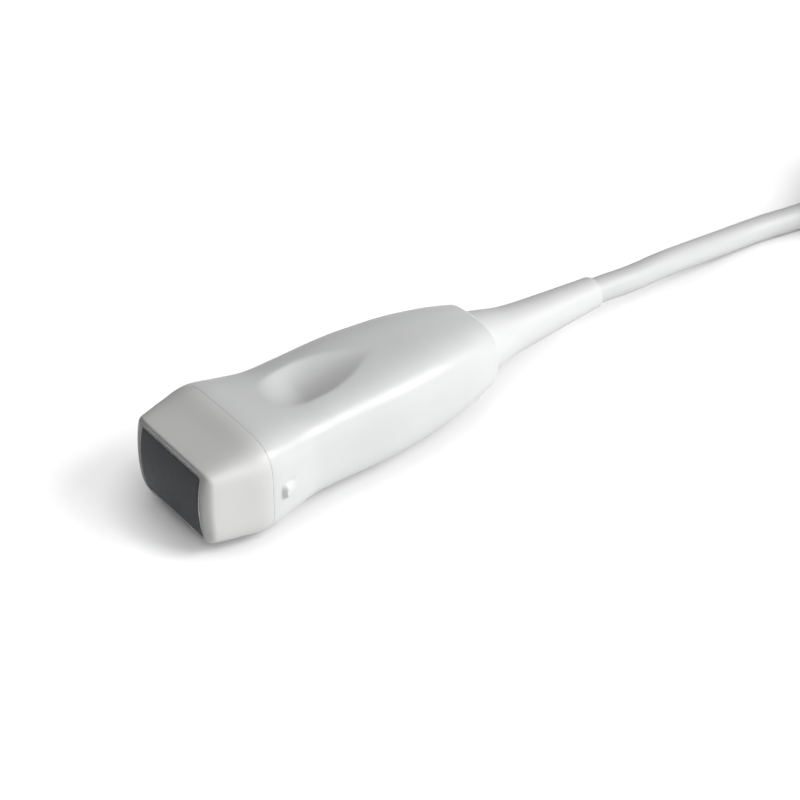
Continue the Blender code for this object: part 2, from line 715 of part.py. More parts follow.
def cable_groove(name, slots, place):
    profile = [
        (0.0, CLAMP_START - CLEARANCE), (GROOVE_RADIUS, CLAMP_START - CLEARANCE),
        (GROOVE_RADIUS, CLAMP_END + GROOVE_STEP), (0.0, CLAMP_END + GROOVE_STEP),
    ]
    return turned(name, profile, slots["chassis"], place, (0, 1, 0))


def screw_hole(name, x, y, face, slots, place, depth=SHANK_LENGTH):
    """Cutter for a screw that enters at a face height and runs towards the axis."""
    radius = SHANK_RADIUS + CLEARANCE
    side = math.copysign(1, face)
    high = face + side * CLEARANCE
    low = face - side * (depth + CLEARANCE)
    profile = [(0.0, low), (radius, low), (radius, high), (0.0, high)]
    spot = (place[0] + x, place[1] + y, place[2])
    return turned(name, profile, slots["steel"], spot, (0, 0, 1), HOLE_FACETS)


def screw(name, x, y, face, slots, place, depth=SHANK_LENGTH):
    """Pan head screw whose head sits on a face height, its shank towards the axis."""
    side = math.copysign(1, face)
    seat = face + side * CLEARANCE
    crown = seat + side * HEAD_HEIGHT
    profile = [
        (0.0, face - side * depth), (SHANK_RADIUS, face - side * depth), (SHANK_RADIUS, seat),
        (HEAD_RADIUS, seat), (HEAD_RADIUS, seat + side * HEAD_HEIGHT * 0.6),
        (HEAD_RADIUS * 0.75, crown), (0.0, crown),
    ]
    spot = (place[0] + x, place[1] + y, place[2])
    return turned(name, profile, slots["steel"], spot, (0, 0, 1), SCREW_FACETS)


def board(name, side, slots, place):
    """Interconnect board with its flex socket, one large chip and a row of small ones."""
    def slab(label, half, start, end, low, high):
        inner, outer = sorted((side * low, side * high))
        return block(label, (-half, start, inner), (half, end, outer), slots["board"], place)

    made = slab(name, BOARD_WIDTH / 2, BOARD_START, BOARD_END, BOARD_LEVEL, BOARD_TOP)
    sunk = BOARD_TOP - BOARD_DEPTH / 2
    socket_end = SOCKET_START + SOCKET_LENGTH
    socket_top = BOARD_TOP + SOCKET_HEIGHT
    join(made, slab(f"{name}_socket", SOCKET_WIDTH / 2, SOCKET_START, socket_end, sunk, socket_top))
    chip_end = CHIP_START + CHIP_SIDE
    chip_top = BOARD_TOP + CHIP_HEIGHT
    join(made, slab(f"{name}_chip", CHIP_SIDE / 2, CHIP_START, chip_end, sunk, chip_top))
    for number, (x, y) in enumerate(boss_places()):
        cut(made, screw_hole(f"{name}_hole_{number}", x, y, side * BOARD_TOP, slots, place))
    return made


def shield(name, side, slots, place):
    """Folded sheet cover over one board, open in front for the flex and behind for the coax."""
    inside = BOARD_WIDTH / 2 + CLEARANCE
    outside = inside + SHIELD_WALL
    foot = side * (SPINE_DEPTH / 2 + CLEARANCE)
    roof = side * SHIELD_ROOF
    start = BOARD_START - SHIELD_OVERHANG
    end = BOARD_END + SHIELD_OVERHANG
    bm = bmesh.new()
    outline = [
        (-outside, foot), (-outside, roof), (outside, roof), (outside, foot),
        (inside, foot), (inside, roof - side * SHIELD_WALL),
        (-inside, roof - side * SHIELD_WALL), (-inside, foot),
    ]
    face = bm.faces.new([bm.verts.new((x, start, z)) for x, z in outline])
    grown = bmesh.ops.extrude_face_region(bm, geom=[face])
    far = [item for item in grown["geom"] if isinstance(item, bmesh.types.BMVert)]
    bmesh.ops.translate(bm, verts=far, vec=(0, end - start, 0))
    return add_object(name, bm, slots["shield"], place)


def coax_fan(name, side, slots, place):
    """Bundle of micro coax that leaves the cable round and spreads flat onto one board."""
    start = CABLE_INNER_END - CLEARANCE
    end = BOARD_END - FAN_LANDING
    near_edge = (start - BOARD_END - CLEARANCE) / (start - end)
    round_level = SPINE_DEPTH / 2 + CLEARANCE + FAN_ROUND
    flat_level = BOARD_TOP + CLEARANCE + FAN_FLAT
    flat_width = BOARD_WIDTH / 2 - FAN_LANDING
    rings = []
    for share in np.linspace(0, 1, 11):
        flat = ease(share / near_edge)
        half_width = FAN_ROUND + (flat_width - FAN_ROUND) * flat
        half_height = FAN_ROUND + (FAN_FLAT - FAN_ROUND) * flat
        level = round_level + (flat_level - round_level) * flat
        distance = start + (end - start) * share
        rings.append([
            (half_width * math.cos(turn), distance, side * level + half_height * math.sin(turn))
            for turn in np.linspace(0, math.tau, 14, endpoint=False)
        ])
    return loft(name, rings, slots["coax"], place)


def cable_clamp(slots, place):
    clamp = clamp_body("cable_clamp", slots, place, 1, CLAMP_CAP_START)
    cut(clamp, cable_groove("clamp_groove", slots, place))
    for side in (-1, 1):
        x, y = side * CLAMP_SCREW_PLACE, clamp_screw_distance()
        cut(clamp, screw_hole(f"clamp_hole_{side + 1}", x, y, CLAMP_HEIGHT, slots, place, saddle_depth()))
    return clamp


def anchored_cable(slots, place):
    """The cable's last stretch, from the clamp to where the boot is moulded onto it."""
    end = BOOT_START + BOOT_BORE_SHARE * BOOT_LENGTH - CLEARANCE
    profile = [(0.0, CABLE_INNER_END), (CABLE_RADIUS, CABLE_INNER_END), (CABLE_RADIUS, end), (0.0, end)]
    return turned("cable_anchored", profile, slots["cable"], place, (0, 1, 0), 24)


# Cable and connector

def cord_curve(points, spacing):
    """Evenly spaced points on a smooth curve through a route's own points."""
    spots = np.array(points)
    run = np.concatenate([[0], np.cumsum(np.linalg.norm(np.diff(spots, axis=0), axis=1))])
    slope = np.gradient(spots, run, axis=0)

    def read(length):
        i = int(np.clip(np.searchsorted(run, length) - 1, 0, len(run) - 2))
        step = run[i + 1] - run[i]
        t = (length - run[i]) / step
        return (
            (1 + 2 * t) * (1 - t) ** 2 * spots[i] + t * (1 - t) ** 2 * step * slope[i]
            + t * t * (3 - 2 * t) * spots[i + 1] + t * t * (t - 1) * step * slope[i + 1]
        )

    count = max(int(run[-1] / spacing), 6)
    found = [read(length) for length in np.linspace(0, run[-1], count + 1)]
    return [(x, y, max(z, CABLE_RADIUS)) for x, y, z in found]


def cord_tube(name, points, slots):
    """Plain round tube along a route."""
    curve = bpy.data.curves.new(name, "CURVE")
    curve.dimensions = "3D"
    curve.bevel_depth = CABLE_RADIUS
    curve.bevel_resolution = 3
    curve.use_fill_caps = True
    spline = curve.splines.new("POLY")
    spots = cord_curve(points, 1.2 * CABLE_DIAMETER)
    spline.points.add(len(spots) - 1)
    for point, spot in zip(spline.points, spots):
        point.co = (*spot, 1.0)
    curve.materials.append(slots["cable"])
    made = bpy.data.objects.new(name, curve)
    bpy.context.scene.collection.objects.link(made)
    return made


def round_fold(radius, degrees, height):
    """A point at a radius and angle round the middle of the hank's near fold."""
    turn = math.radians(degrees)
    return (HANK_NEAR[0] + radius * math.cos(turn), HANK_NEAR[1] + radius * math.sin(turn), height)


def lead_route():
    """From the boot's tip down to the floor, and along it round the hank's near fold to its side."""
    x, y, z = shift_x(), LEAD_START_Y, AXIS_HEIGHT
    floor = CABLE_RADIUS
    beside = HANK_OUTER_RADIUS + CLEARANCE + CABLE_RADIUS
    return [
        (x, y, z), (x, y + 0.0060, z - 0.0001), (x + 0.0002, y + 0.0113, z - 0.0007),
        (-0.0012, 0.0819, 0.0093), (-0.0032, 0.0939, 0.0067), (-0.0047, 0.1059, 0.0044),
        (-0.0050, 0.1179, floor), (-0.0034, 0.1280, floor), (-0.0026, 0.1345, floor),
        (-0.0033, 0.1411, floor), (-0.0055, 0.1471, floor), round_fold(beside, 214, floor),
        round_fold(beside, 197, floor), round_fold(beside, 180, floor),
        (HANK_NEAR[0] - beside, HANK_NEAR[1] + 0.0090, floor),
    ]


def tail_route():
    """From the top of the hank's near fold up and over its open middle to the connector's relief."""
    x, y = HANK_NEAR
    low = HANK_TOP + CLEARANCE + CABLE_RADIUS
    high = HANK_TOP + CLEARANCE + CONNECTOR_MIDDLE
    end = y + CONNECTOR_STEP
    rise = high - low
    return [
        round_fold(FOLD_RADIUS, 216, low), round_fold(FOLD_RADIUS, 198, low),
        round_fold(FOLD_RADIUS, 180, low), round_fold(FOLD_RADIUS, 162, low + 0.06 * rise),
        round_fold(FOLD_RADIUS, 144, low + 0.22 * rise), round_fold(FOLD_RADIUS, 127, low + 0.45 * rise),
        (x - 0.0068, y + 0.0199, low + 0.66 * rise), (x - 0.0029, y + 0.0254, low + 0.86 * rise),
        (x - 0.0006, y + 0.0308, low + 0.98 * rise), (x, end - 0.0035, high), (x, end, high),
    ]


def rounded_rectangle(low, high, rounding, steps):
    """Corner by corner round a rectangle between two corners, each one turned in a few steps."""
    corners = [(high[0] - rounding, low[1] + rounding, -90), (high[0] - rounding, high[1] - rounding, 0),
               (low[0] + rounding, high[1] - rounding, 90), (low[0] + rounding, low[1] + rounding, 180)]
    spots = []
    for across, height, first in corners:
        for turn in np.radians(np.linspace(first, first + 90, steps)):
            spots.append((across + rounding * math.cos(turn), height + rounding * math.sin(turn)))
    return spots


def cable_hank(slots):
    """Solid of the hank's outer shape, which the turns of cable fill."""
    low, high = (HANK_INNER_RADIUS, HANK_BASE), (HANK_OUTER_RADIUS, HANK_TOP)
    section = rounded_rectangle(low, high, HANK_ROUNDING, 3)
    rings = []
    for first, shift in ((180, 0.0), (0, HANK_RUN)):
        for turn in np.radians(np.linspace(first, first + 180, FOLD_FACETS + 1)):
            rings.append([
                (radius * math.cos(turn), shift + radius * math.sin(turn), height)
                for radius, height in section
            ])
    return loft("cable_hank", rings, slots["cable"], (*HANK_NEAR, 0.0), endless=True)


def tie(name, side, slots):
    """Strap closed round one of the hank's two runs, on the side of X given."""
    gap, far = CLEARANCE, CLEARANCE + TIE_DEPTH
    rounding = HANK_ROUNDING + far
    inside = rounded_rectangle(
        (HANK_INNER_RADIUS - gap, HANK_BASE - gap), (HANK_OUTER_RADIUS + gap, HANK_TOP + gap),
        rounding - TIE_DEPTH, 4,
    )
    outside = rounded_rectangle(
        (HANK_INNER_RADIUS - far, HANK_BASE - far), (HANK_OUTER_RADIUS + far, HANK_TOP + far), rounding, 4,
    )
    start, end = TIE_START, TIE_START + TIE_WIDTH
    rings = [
        [(side * a, start, b), (side * c, start, d), (side * c, end, d), (side * a, end, b)]
        for (a, b), (c, d) in zip(inside, outside)
    ]
    return loft(name, rings, slots["tie"], (*HANK_NEAR, 0.0), endless=True)


def connector_half(name, upper, slots, place):
    """One half of the connector's two-piece housing: a tray with grooved grips and pillars."""
    half_width, half_length = CONNECTOR_WIDTH / 2, CONNECTOR_LENGTH / 2
    low = CONNECTOR_MIDDLE + CLEARANCE / 2 if upper else 0.0
    high = CONNECTOR_HEIGHT if upper else CONNECTOR_MIDDLE - CLEARANCE / 2
    wall = CONNECTOR_WALL
    made = block(
        name, (-half_width, -half_length, 0.0), (half_width, half_length, CONNECTOR_HEIGHT),
        slots["handle"], place, CONNECTOR_BEVEL, 2,
    )
    room = (half_width - wall, half_length - wall, CONNECTOR_HEIGHT - wall)
    cut(made, block(f"{name}_room", (-room[0], -room[1], wall), room, slots["handle"], place))
    for number, (x, y) in enumerate(pillar_places()):
        spot = (place[0] + x, place[1] + y, place[2])
        profile = [(0.0, wall / 2), (PILLAR_RADIUS, wall / 2),
                   (PILLAR_RADIUS, CONNECTOR_HEIGHT - wall / 2), (0.0, CONNECTOR_HEIGHT - wall / 2)]
        pillar = turned(f"{name}_pillar_{number}", profile, slots["handle"], spot, (0, 0, 1), SCREW_FACETS)
        join(made, pillar)
    reach = CONNECTOR_LENGTH
    other = (high, high + CONNECTOR_HEIGHT) if not upper else (low - CONNECTOR_HEIGHT, low)
    cut(made, block(f"{name}_other_half", (-reach, -reach, other[0]), (reach, reach, other[1]),
                    slots["handle"], place))
    for number, (x, y) in enumerate(pillar_places()):
        spot = (place[0] + x, place[1] + y, place[2])
        cut(made, turned(f"{name}_bore_{number}", connector_bore(), slots["handle"], spot,
                         (0, 0, 1), HOLE_FACETS))
    mouth = (SHROUD_WIDTH / 2 + CLEARANCE, SHROUD_HEIGHT / 2 + CLEARANCE)
    cut(made, block(
        f"{name}_mouth", (-mouth[0], half_length - CONNECTOR_WALL - CLEARANCE, CONNECTOR_MIDDLE - mouth[1]),
        (mouth[0], reach, CONNECTOR_MIDDLE + mouth[1]), slots["handle"], place,
    ))
    radius = RELIEF_NECK_RADIUS + CLEARANCE
    profile = [(0.0, half_length - 2 * wall), (radius, half_length - 2 * wall),
               (radius, half_length + wall), (0.0, half_length + wall)]
    middle = (place[0], place[1], place[2] + CONNECTOR_MIDDLE)
    cut(made, turned(f"{name}_gland", profile, slots["handle"], middle, (0, -1, 0), TURNED_FACETS))
    for side in (-1, 1):
        cut(made, grip_grooves(f"{name}_grip_{side + 1}", side, slots, place))
    return made


def pillar_places():
    x = CONNECTOR_WIDTH / 2 - PILLAR_INSET
    y = CONNECTOR_LENGTH / 2 - PILLAR_INSET
    return ((-x, -y), (x, -y), (-x, y), (x, y))


def connector_bore():
    """Profile of a screw's hole: a counterbore in the base, then a blind bore into the cover."""
    bore = SHANK_RADIUS + CLEARANCE
    seat = HOUSING_HEAD_RADIUS + CLEARANCE
    top = HOUSING_SEAT + HOUSING_SHANK + CLEARANCE
    return [(0.0, -CONNECTOR_WALL), (seat, -CONNECTOR_WALL), (seat, HOUSING_SEAT), (bore, HOUSING_SEAT),
            (bore, top), (0.0, top)]


def connector_screw(name, x, y, slots, place):
    head = HOUSING_SEAT - CLEARANCE
    profile = [
        (0.0, head - HEAD_HEIGHT), (HOUSING_HEAD_RADIUS, head - HEAD_HEIGHT),
        (HOUSING_HEAD_RADIUS, head), (SHANK_RADIUS, head), (SHANK_RADIUS, HOUSING_SEAT + HOUSING_SHANK),
        (0.0, HOUSING_SEAT + HOUSING_SHANK),
    ]
    spot = (place[0] + x, place[1] + y, place[2])
    return turned(name, profile, slots["steel"], spot, (0, 0, 1), SCREW_FACETS)


def grip_grooves(name, side, slots, place):
    """Comb that cuts the upright finger grooves into one side of the housing."""
    face = side * CONNECTOR_WIDTH / 2
    root = face - side * GRIP_GROOVE_DEPTH
    outside = face + side * CONNECTOR_WALL
    outline = [(outside, -GRIP_PITCH * GRIP_GROOVES)]
    for groove in range(GRIP_GROOVES):
        middle = (groove - (GRIP_GROOVES - 1) / 2) * GRIP_PITCH
        reach = GRIP_PITCH / 4
        clear = face + side * GRIP_GROOVE_DEPTH
        outline += [(clear, middle - reach), (root, middle - reach / 2),
                    (root, middle + reach / 2), (clear, middle + reach)]
    outline.append((outside, GRIP_PITCH * GRIP_GROOVES))
    spot = (place[0], place[1], place[2])
    bottom, top = -CONNECTOR_WALL, CONNECTOR_HEIGHT + CONNECTOR_WALL
    return prism(name, outline, "Z", bottom, top, slots["handle"], spot)


def connector_shroud(slots, place):
    """Metal mating shell: a rectangular tube held by a flange behind the front wall."""
    front = CONNECTOR_LENGTH / 2 + SHROUD_REACH
    seat = CONNECTOR_LENGTH / 2 - CONNECTOR_WALL - CLEARANCE
    x, z = SHROUD_WIDTH / 2, SHROUD_HEIGHT / 2
    middle = (place[0], place[1], place[2] + CONNECTOR_MIDDLE)
    made = block("connector_shroud", (-x, front - SHROUD_LENGTH, -z), (x, front, z), slots["shield"], middle)
    rim = SHROUD_WALL + CLEARANCE
    join(made, block("shroud_flange", (-x - rim, seat - SHROUD_WALL, -z - rim), (x + rim, seat, z + rim),
                     slots["shield"], middle))
    x, z = x - SHROUD_WALL, z - SHROUD_WALL
    cut(made, block("shroud_mouth", (-x, -CONNECTOR_LENGTH, -z), (x, 2 * front, z), slots["shield"], middle))
    return made


def contact_block(slots, place):
    """Insulator with a row of upright contact slots in its mating face."""
    gap = SHROUD_WALL + CLEARANCE
    half_width, half_height = SHROUD_WIDTH / 2 - gap, SHROUD_HEIGHT / 2 - gap
    front = CONNECTOR_LENGTH / 2 + SHROUD_REACH - CONTACT_DEPTH / 2
    back = CONNECTOR_LENGTH / 2 + SHROUD_REACH - SHROUD_LENGTH
    outline = [(-half_width, back), (-half_width, front)]
    for column in range(CONTACT_COLUMNS):
        middle = (column - (CONTACT_COLUMNS - 1) / 2) * CONTACT_PITCH
        for side, depth in ((-1, 0.0), (-1, CONTACT_DEPTH), (1, CONTACT_DEPTH), (1, 0.0)):
            outline.append((middle + side * CONTACT_WIDTH / 2, front - depth))
    outline += [(half_width, front), (half_width, back)]
    bottom, top = CONNECTOR_MIDDLE - half_height, CONNECTOR_MIDDLE + half_height
    return prism("contact_block", outline, "Z", bottom, top, slots["contact"], place)


def connector_board(slots, place):
    half_width = CONNECTOR_BOARD_WIDTH / 2
    start = 2 * PILLAR_INSET - CONNECTOR_LENGTH / 2
    end = CONNECTOR_LENGTH / 2 + SHROUD_REACH - SHROUD_LENGTH - CLEARANCE
    level, half = CONNECTOR_MIDDLE, CONNECTOR_BOARD_DEPTH / 2
    return block("connector_board", (-half_width, start, level - half), (half_width, end, level + half),
                 slots["board"], place)


def connector_relief(slots, place):
    """Soft tapered sleeve whose flange sits behind the housing's rear wall."""
    wall = CONNECTOR_LENGTH / 2
    inner = wall - CONNECTOR_WALL - CLEARANCE
    start = wall + CLEARANCE
    profile = [
        (0.0, inner - CONNECTOR_WALL), (RELIEF_FLANGE_RADIUS, inner - CONNECTOR_WALL),
        (RELIEF_FLANGE_RADIUS, inner), (RELIEF_NECK_RADIUS, inner), (RELIEF_NECK_RADIUS, start),
        (RELIEF_BASE_RADIUS, start),
    ]
    for share in np.linspace(0.12, 1, 6):
        fall = ease(share)
        radius = RELIEF_BASE_RADIUS + (RELIEF_TIP_RADIUS - RELIEF_BASE_RADIUS) * fall
        profile.append((radius, start + share * (RELIEF_LENGTH - BOOT_ROUNDING)))
    profile += [(RELIEF_TIP_RADIUS - BOOT_ROUNDING / 2, start + RELIEF_LENGTH), (0.0, start + RELIEF_LENGTH)]
    middle = (place[0], place[1], place[2] + CONNECTOR_MIDDLE)
    return turned("connector_relief", profile, slots["boot"], middle, (0, -1, 0), 22)


def build_connector(slots):
    place = (HANK_NEAR[0], CONNECTOR_Y, HANK_TOP + CLEARANCE)
    connector_half("connector_base", False, slots, place)
    connector_half("connector_cover", True, slots, place)
    connector_shroud(slots, place)
    contact_block(slots, place)
    connector_board(slots, place)
    connector_relief(slots, place)
    for number, (x, y) in enumerate(pillar_places(), 1):
        connector_screw(f"connector_screw_{number}", x, y, slots, place)


def shift_x():
    """Sideways place of the probe's axis that centres the body with its ridge on X = 0."""
    ridge = body_section(RIDGE_PLACE)[0] + RIDGE_RISE
    return (SEAM_WIDTH / 2 - ridge) / 2


def build_probe(slots):
    place = (shift_x(), FACE_Y, AXIS_HEIGHT)
    nose_piece(slots, place)
    handle_shell(slots, place)
    strain_relief(slots, place)
    acoustic_lens(slots, place)
    matching_layer("matching_layer_outer", OUTER_MATCHING_START, slots, place)
    matching_layer("matching_layer_inner", INNER_MATCHING_START, slots, place)
    piezo_array(slots, place)
    flex_circuit(slots, place)
    backing_block(slots, place)
    chassis(slots, place)
    board("board_upper", 1, slots, place)
    board("board_lower", -1, slots, place)
    shield("shield_upper", 1, slots, place)
    shield("shield_lower", -1, slots, place)
    coax_fan("coax_fan_upper", 1, slots, place)
    coax_fan("coax_fan_lower", -1, slots, place)
    for side, label in ((1, "upper"), (-1, "lower")):
        for (x, y), spot in zip(boss_places(), ("front", "rear")):
            screw(f"board_screw_{label}_{spot}", x, y, side * BOARD_TOP, slots, place)
    cable_clamp(slots, place)
    for side, label in ((-1, "left"), (1, "right")):
        x, y = side * CLAMP_SCREW_PLACE, clamp_screw_distance()
        screw(f"clamp_screw_{label}", x, y, CLAMP_HEIGHT, slots, place, saddle_depth())
    anchored_cable(slots, place)


def build_cord(slots):
    cord_tube("cable_lead", lead_route(), slots)
    cable_hank(slots)
    tie("tie_left", -1, slots)
    tie("tie_right", 1, slots)
    cord_tube("cable_tail", tail_route(), slots)
    build_connector(slots)


def main():
    clear_scene()
    slots = make_materials()
    build_probe(slots)
    build_cord(slots)


main()
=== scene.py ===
import math

import bmesh
import bpy
import numpy as np
from bpy.props import FloatProperty, FloatVectorProperty, IntProperty
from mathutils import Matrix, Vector


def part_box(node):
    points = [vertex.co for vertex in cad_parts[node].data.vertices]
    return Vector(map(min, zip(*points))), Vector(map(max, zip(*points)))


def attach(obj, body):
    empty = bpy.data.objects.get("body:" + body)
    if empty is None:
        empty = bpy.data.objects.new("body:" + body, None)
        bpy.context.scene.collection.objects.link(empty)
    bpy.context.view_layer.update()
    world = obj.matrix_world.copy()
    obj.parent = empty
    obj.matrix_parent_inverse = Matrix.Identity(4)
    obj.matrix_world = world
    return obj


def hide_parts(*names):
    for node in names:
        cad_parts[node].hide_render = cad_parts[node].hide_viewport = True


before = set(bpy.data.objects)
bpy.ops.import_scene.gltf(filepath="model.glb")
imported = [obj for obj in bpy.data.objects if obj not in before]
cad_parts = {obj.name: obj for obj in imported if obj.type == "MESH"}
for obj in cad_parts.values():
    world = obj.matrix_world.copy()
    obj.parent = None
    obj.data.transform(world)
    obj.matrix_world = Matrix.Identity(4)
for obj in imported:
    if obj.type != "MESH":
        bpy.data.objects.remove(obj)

bl_info = {
    "name": "Ultrasound probe",
    "version": (1, 0, 0),
    "blender": (4, 5, 0),
    "location": "3D View > Sidebar > Probe",
    "description": "Builds a dressed ultrasound transducer probe over its packed frame",
    "category": "Object",
}

# Where the probe lies: its axis, the plane of its nose face and the end of its handle
BOOT_LOW, BOOT_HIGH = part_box("strain_relief")
AXIS_X = (BOOT_LOW.x + BOOT_HIGH.x) / 2
AXIS_Z = (BOOT_LOW.z + BOOT_HIGH.z) / 2
FACE_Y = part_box("nose_piece")[0].y
BODY_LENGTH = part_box("handle_shell")[1].y - FACE_Y
BOOT_TIP_Y = BOOT_HIGH.y

# Body sections from the nose face back: widths run along X and heights along Z
NOSE_LENGTH = 0.0136
PLACES = [0.0, 0.5, 1.0, 1.10, 1.20, 1.31, 1.50, 1.69, 1.87, 2.0]
WIDTHS = [0.0273, 0.0308, 0.0338, 0.0319, 0.0296, 0.0294, 0.0301, 0.0285, 0.0245, 0.0194]
HEIGHTS = [0.0185, 0.0211, 0.0240, 0.0226, 0.0216, 0.0224, 0.0233, 0.0228, 0.0206, 0.0176]
SQUARE_PLACES = [0.0, 1.0, 1.31, 2.0]
SQUARENESS = [9.5, 4.9, 3.8, 2.9]
# Factor on the squareness below, where the corners are rounder
UNDERSIDE = 0.8
SECTION_EASING = 0.0026
RING_STEPS = 48

# Lens and its window in the nose face
LENS_WIDTH = 0.0217
LENS_HEIGHT = 0.0156
LENS_CROWN = 0.0010
LENS_EDGE = 0.00012
LENS_FLANGE = 0.0007
WINDOW_GAP = 0.00026
WINDOW_EDGE = 0.00012
WINDOW_SQUARENESS = 44.0
NOSE_LIP = 0.0018

# Nose face: crowned between the window's long edges, and less so towards its own rim
FACE_CROWN = 0.00085
FACE_FADE = 0.0060
CROWN_LOSS = 0.35
RIM_SIDE = 0.0020
RIM_SIDE_DEPTH = 0.0016
RIM_TOP = 0.0004
RIM_TOP_DEPTH = 0.0005
RIM_PROUD = 0.0001
RIM_BLEND = 7
# Shallow cove round the window: share of the way to the rim, and depth behind the face
COVE = ((0.0, 0.0), (0.3, 0.00001), (0.6, -0.00003), (0.85, -0.00008))

# Seam, walls and rear end
EDGE = 0.00006
HANDLE_WALL = 0.0016
SPIGOT_LENGTH = 0.0032
SPIGOT_BORE_INSET = 0.0036
REAR_ROUNDING = 0.0014
REAR_WALL = 0.0026
REAR_OPENING = 0.0052
REAR_OPENING_EDGE = 0.0003

# Thumb scallops: their width falls by these shares, blunt in front
SCALLOP_START = 0.0232
SCALLOP_LENGTH = 0.0290
SCALLOP_WIDTH = 0.0134
SCALLOP_DEPTH = 0.0024
SCALLOP_DEPTH_INSIDE = 0.0016
SCALLOP_PLACES = [0.0, 0.03, 0.10, 0.22, 0.40, 0.60, 0.80, 1.0]
SCALLOP_SHARES = [0.0, 0.58, 0.82, 0.96, 1.0, 0.84, 0.48, 0.0]
SCALLOP_RUN_IN = 0.32
SCALLOP_RUN_OUT = 0.85
SCALLOP_BOWL = 1.08

# Orientation ridge: its slopes are shares of its reach
RIDGE_PLACE = 0.0171
RIDGE_FRONT = 0.0014
RIDGE_REAR = 0.0027
RIDGE_HALF_HEIGHT = 0.0022
RIDGE_SQUARENESS = 2.3
RIDGE_FRONT_SLOPE = 0.62
RIDGE_REAR_SLOPE = 0.75
RIDGE_MARGIN = 0.0010
RIDGE_SKIN_X = 0.0142

# Strain relief: its radius falls from base to tip by these shares
BOOT_BASE = 0.0079
BOOT_TIP = 0.0038
BOOT_DROOP = 0.0004
BOOT_GAP = 0.00006
BOOT_ROOT = 0.0002
BOOT_LIP = 0.0004
BOOT_PLACES = [0.0, 0.06, 0.15, 0.25, 0.36, 0.65, 1.0]
BOOT_BLENDS = [1.0, 0.90, 0.72, 0.53, 0.42, 0.22, 0.0]
PLUG_RADIUS = 0.0060
PLUG_NECK = 0.0049

# Hank of cable and the connector that lies on it
HANK_X = 0.0180
HANK_Y = 0.1700
HANK_RUN = 0.0660
HANK_BASE = 0.0011
TURN_PITCH = 0.0066
INNER_TURN = 0.0189
OUTER_TURN = INNER_TURN + TURN_PITCH
BUNDLE_INSIDE = INNER_TURN - TURN_PITCH / 2
BUNDLE_OUTSIDE = OUTER_TURN + TURN_PITCH / 2
HANK_TOP = HANK_BASE + 3 * TURN_PITCH
CONNECTOR_STEP = 0.0390
REST_GAP = 0.0003

# Connector's ribbed relief and rounded housing, and the straps round the hank
RELIEF_BASE = 0.0060
RELIEF_TAPER = 0.0020
RELIEF_RIBS = 6
RELIEF_RIB_DEPTH = 0.0003
HOUSING_ROUNDING = 0.0024
STRAP_THICKNESS = 0.0008
STRAP_EDGE = 0.0003
STRAP_CORNER = 0.0035

# Camera: turned from the nose to the ridge's side and lifted off the floor, in degrees
CAMERA_TURN = 52.44553
CAMERA_LIFT = 37.00397
CAMERA_TARGET = (0.0040373, -0.0013041, 0.0100759)
CAMERA_DISTANCE = 0.4789023
CAMERA_FOCAL_LENGTH = 98.7645

# Light: each lamp's name, turn from +X and lift in degrees, and power in watts
LAMPS = (("key_light", 41, 38, 32.5), ("side_light", 0, 15, 13.5), ("fill_light", 180, 15, 2.5))
LAMP_SIZE = 1.0
LAMP_DISTANCE = 2.0
LAMP_AIM = (0.0, 0.0, 0.012)
SURROUND_STRENGTH = 0.02
FLOOR_SIZE = 3.0
FLOOR_LEVEL = -0.00005
FLOOR_GLOW = 0.72
FLOOR_BOUNCE = 0.63
SHADOW_REACH = 0.012
SHADOW_DEPTH = 1.5


# Shape helpers

def ease(share):
    share = min(max(share, 0.0), 1.0)
    return share * share * (3 - 2 * share)


def cubic(along, length, ends, slopes):
    """Reads a cubic stretch between two values, from its slopes there."""
    t = along / length
    return (
        (1 + 2 * t) * (1 - t) ** 2 * ends[0] + t * (1 - t) ** 2 * length * slopes[0]
        + t * t * (3 - 2 * t) * ends[1] + t * t * (t - 1) * length * slopes[1]
    )


def rounding(steps, first, last):
    """Steps of a rounded corner: what it lacks of its inset and has gone of its depth."""
    for step in range(first, last + 1):
        turn = math.pi / 2 * step / steps
        yield 1 - math.sin(turn), 1 - math.cos(turn)


def through(places, values, place):
    """Reads a curve through the values that never overshoots between them."""
    step = np.diff(places)
    slope = np.diff(values) / step
    tangent = np.zeros(len(values))
    tangent[0], tangent[-1] = slope[0], slope[-1]
    for i in range(1, len(values) - 1):
        if slope[i - 1] * slope[i] > 0:
            before = 2 * step[i] + step[i - 1]
            after = step[i] + 2 * step[i - 1]
            tangent[i] = (before + after) / (before / slope[i - 1] + after / slope[i])
    i = int(np.clip(np.searchsorted(places, place) - 1, 0, len(step) - 1))
    return float(cubic(place - places[i], step[i], values[i:i + 2], tangent[i:i + 2]))


def distances(places):
    """Distances behind the nose face; places count the nose as 0 to 1, the handle as 1 to 2."""
    return [
        NOSE_LENGTH * min(place, 1) + (BODY_LENGTH - NOSE_LENGTH) * max(place - 1, 0)
        for place in places
    ]


def raw_section(distance):
    return np.array([
        through(distances(PLACES), WIDTHS, distance) / 2,
        through(distances(PLACES), HEIGHTS, distance) / 2,
        through(distances(SQUARE_PLACES), SQUARENESS, distance),
    ])


def section(distance):
    """Half width, half height and squareness of the skin, eased where two stretches meet."""
    reach = min(SECTION_EASING, distance, max(BODY_LENGTH - distance, 0.0))
    weights = (1, 4, 6, 4, 1)
    spots = [raw_section(distance + reach * k / 2) * w for k, w in zip(range(-2, 3), weights)]
    return sum(spots) / 16


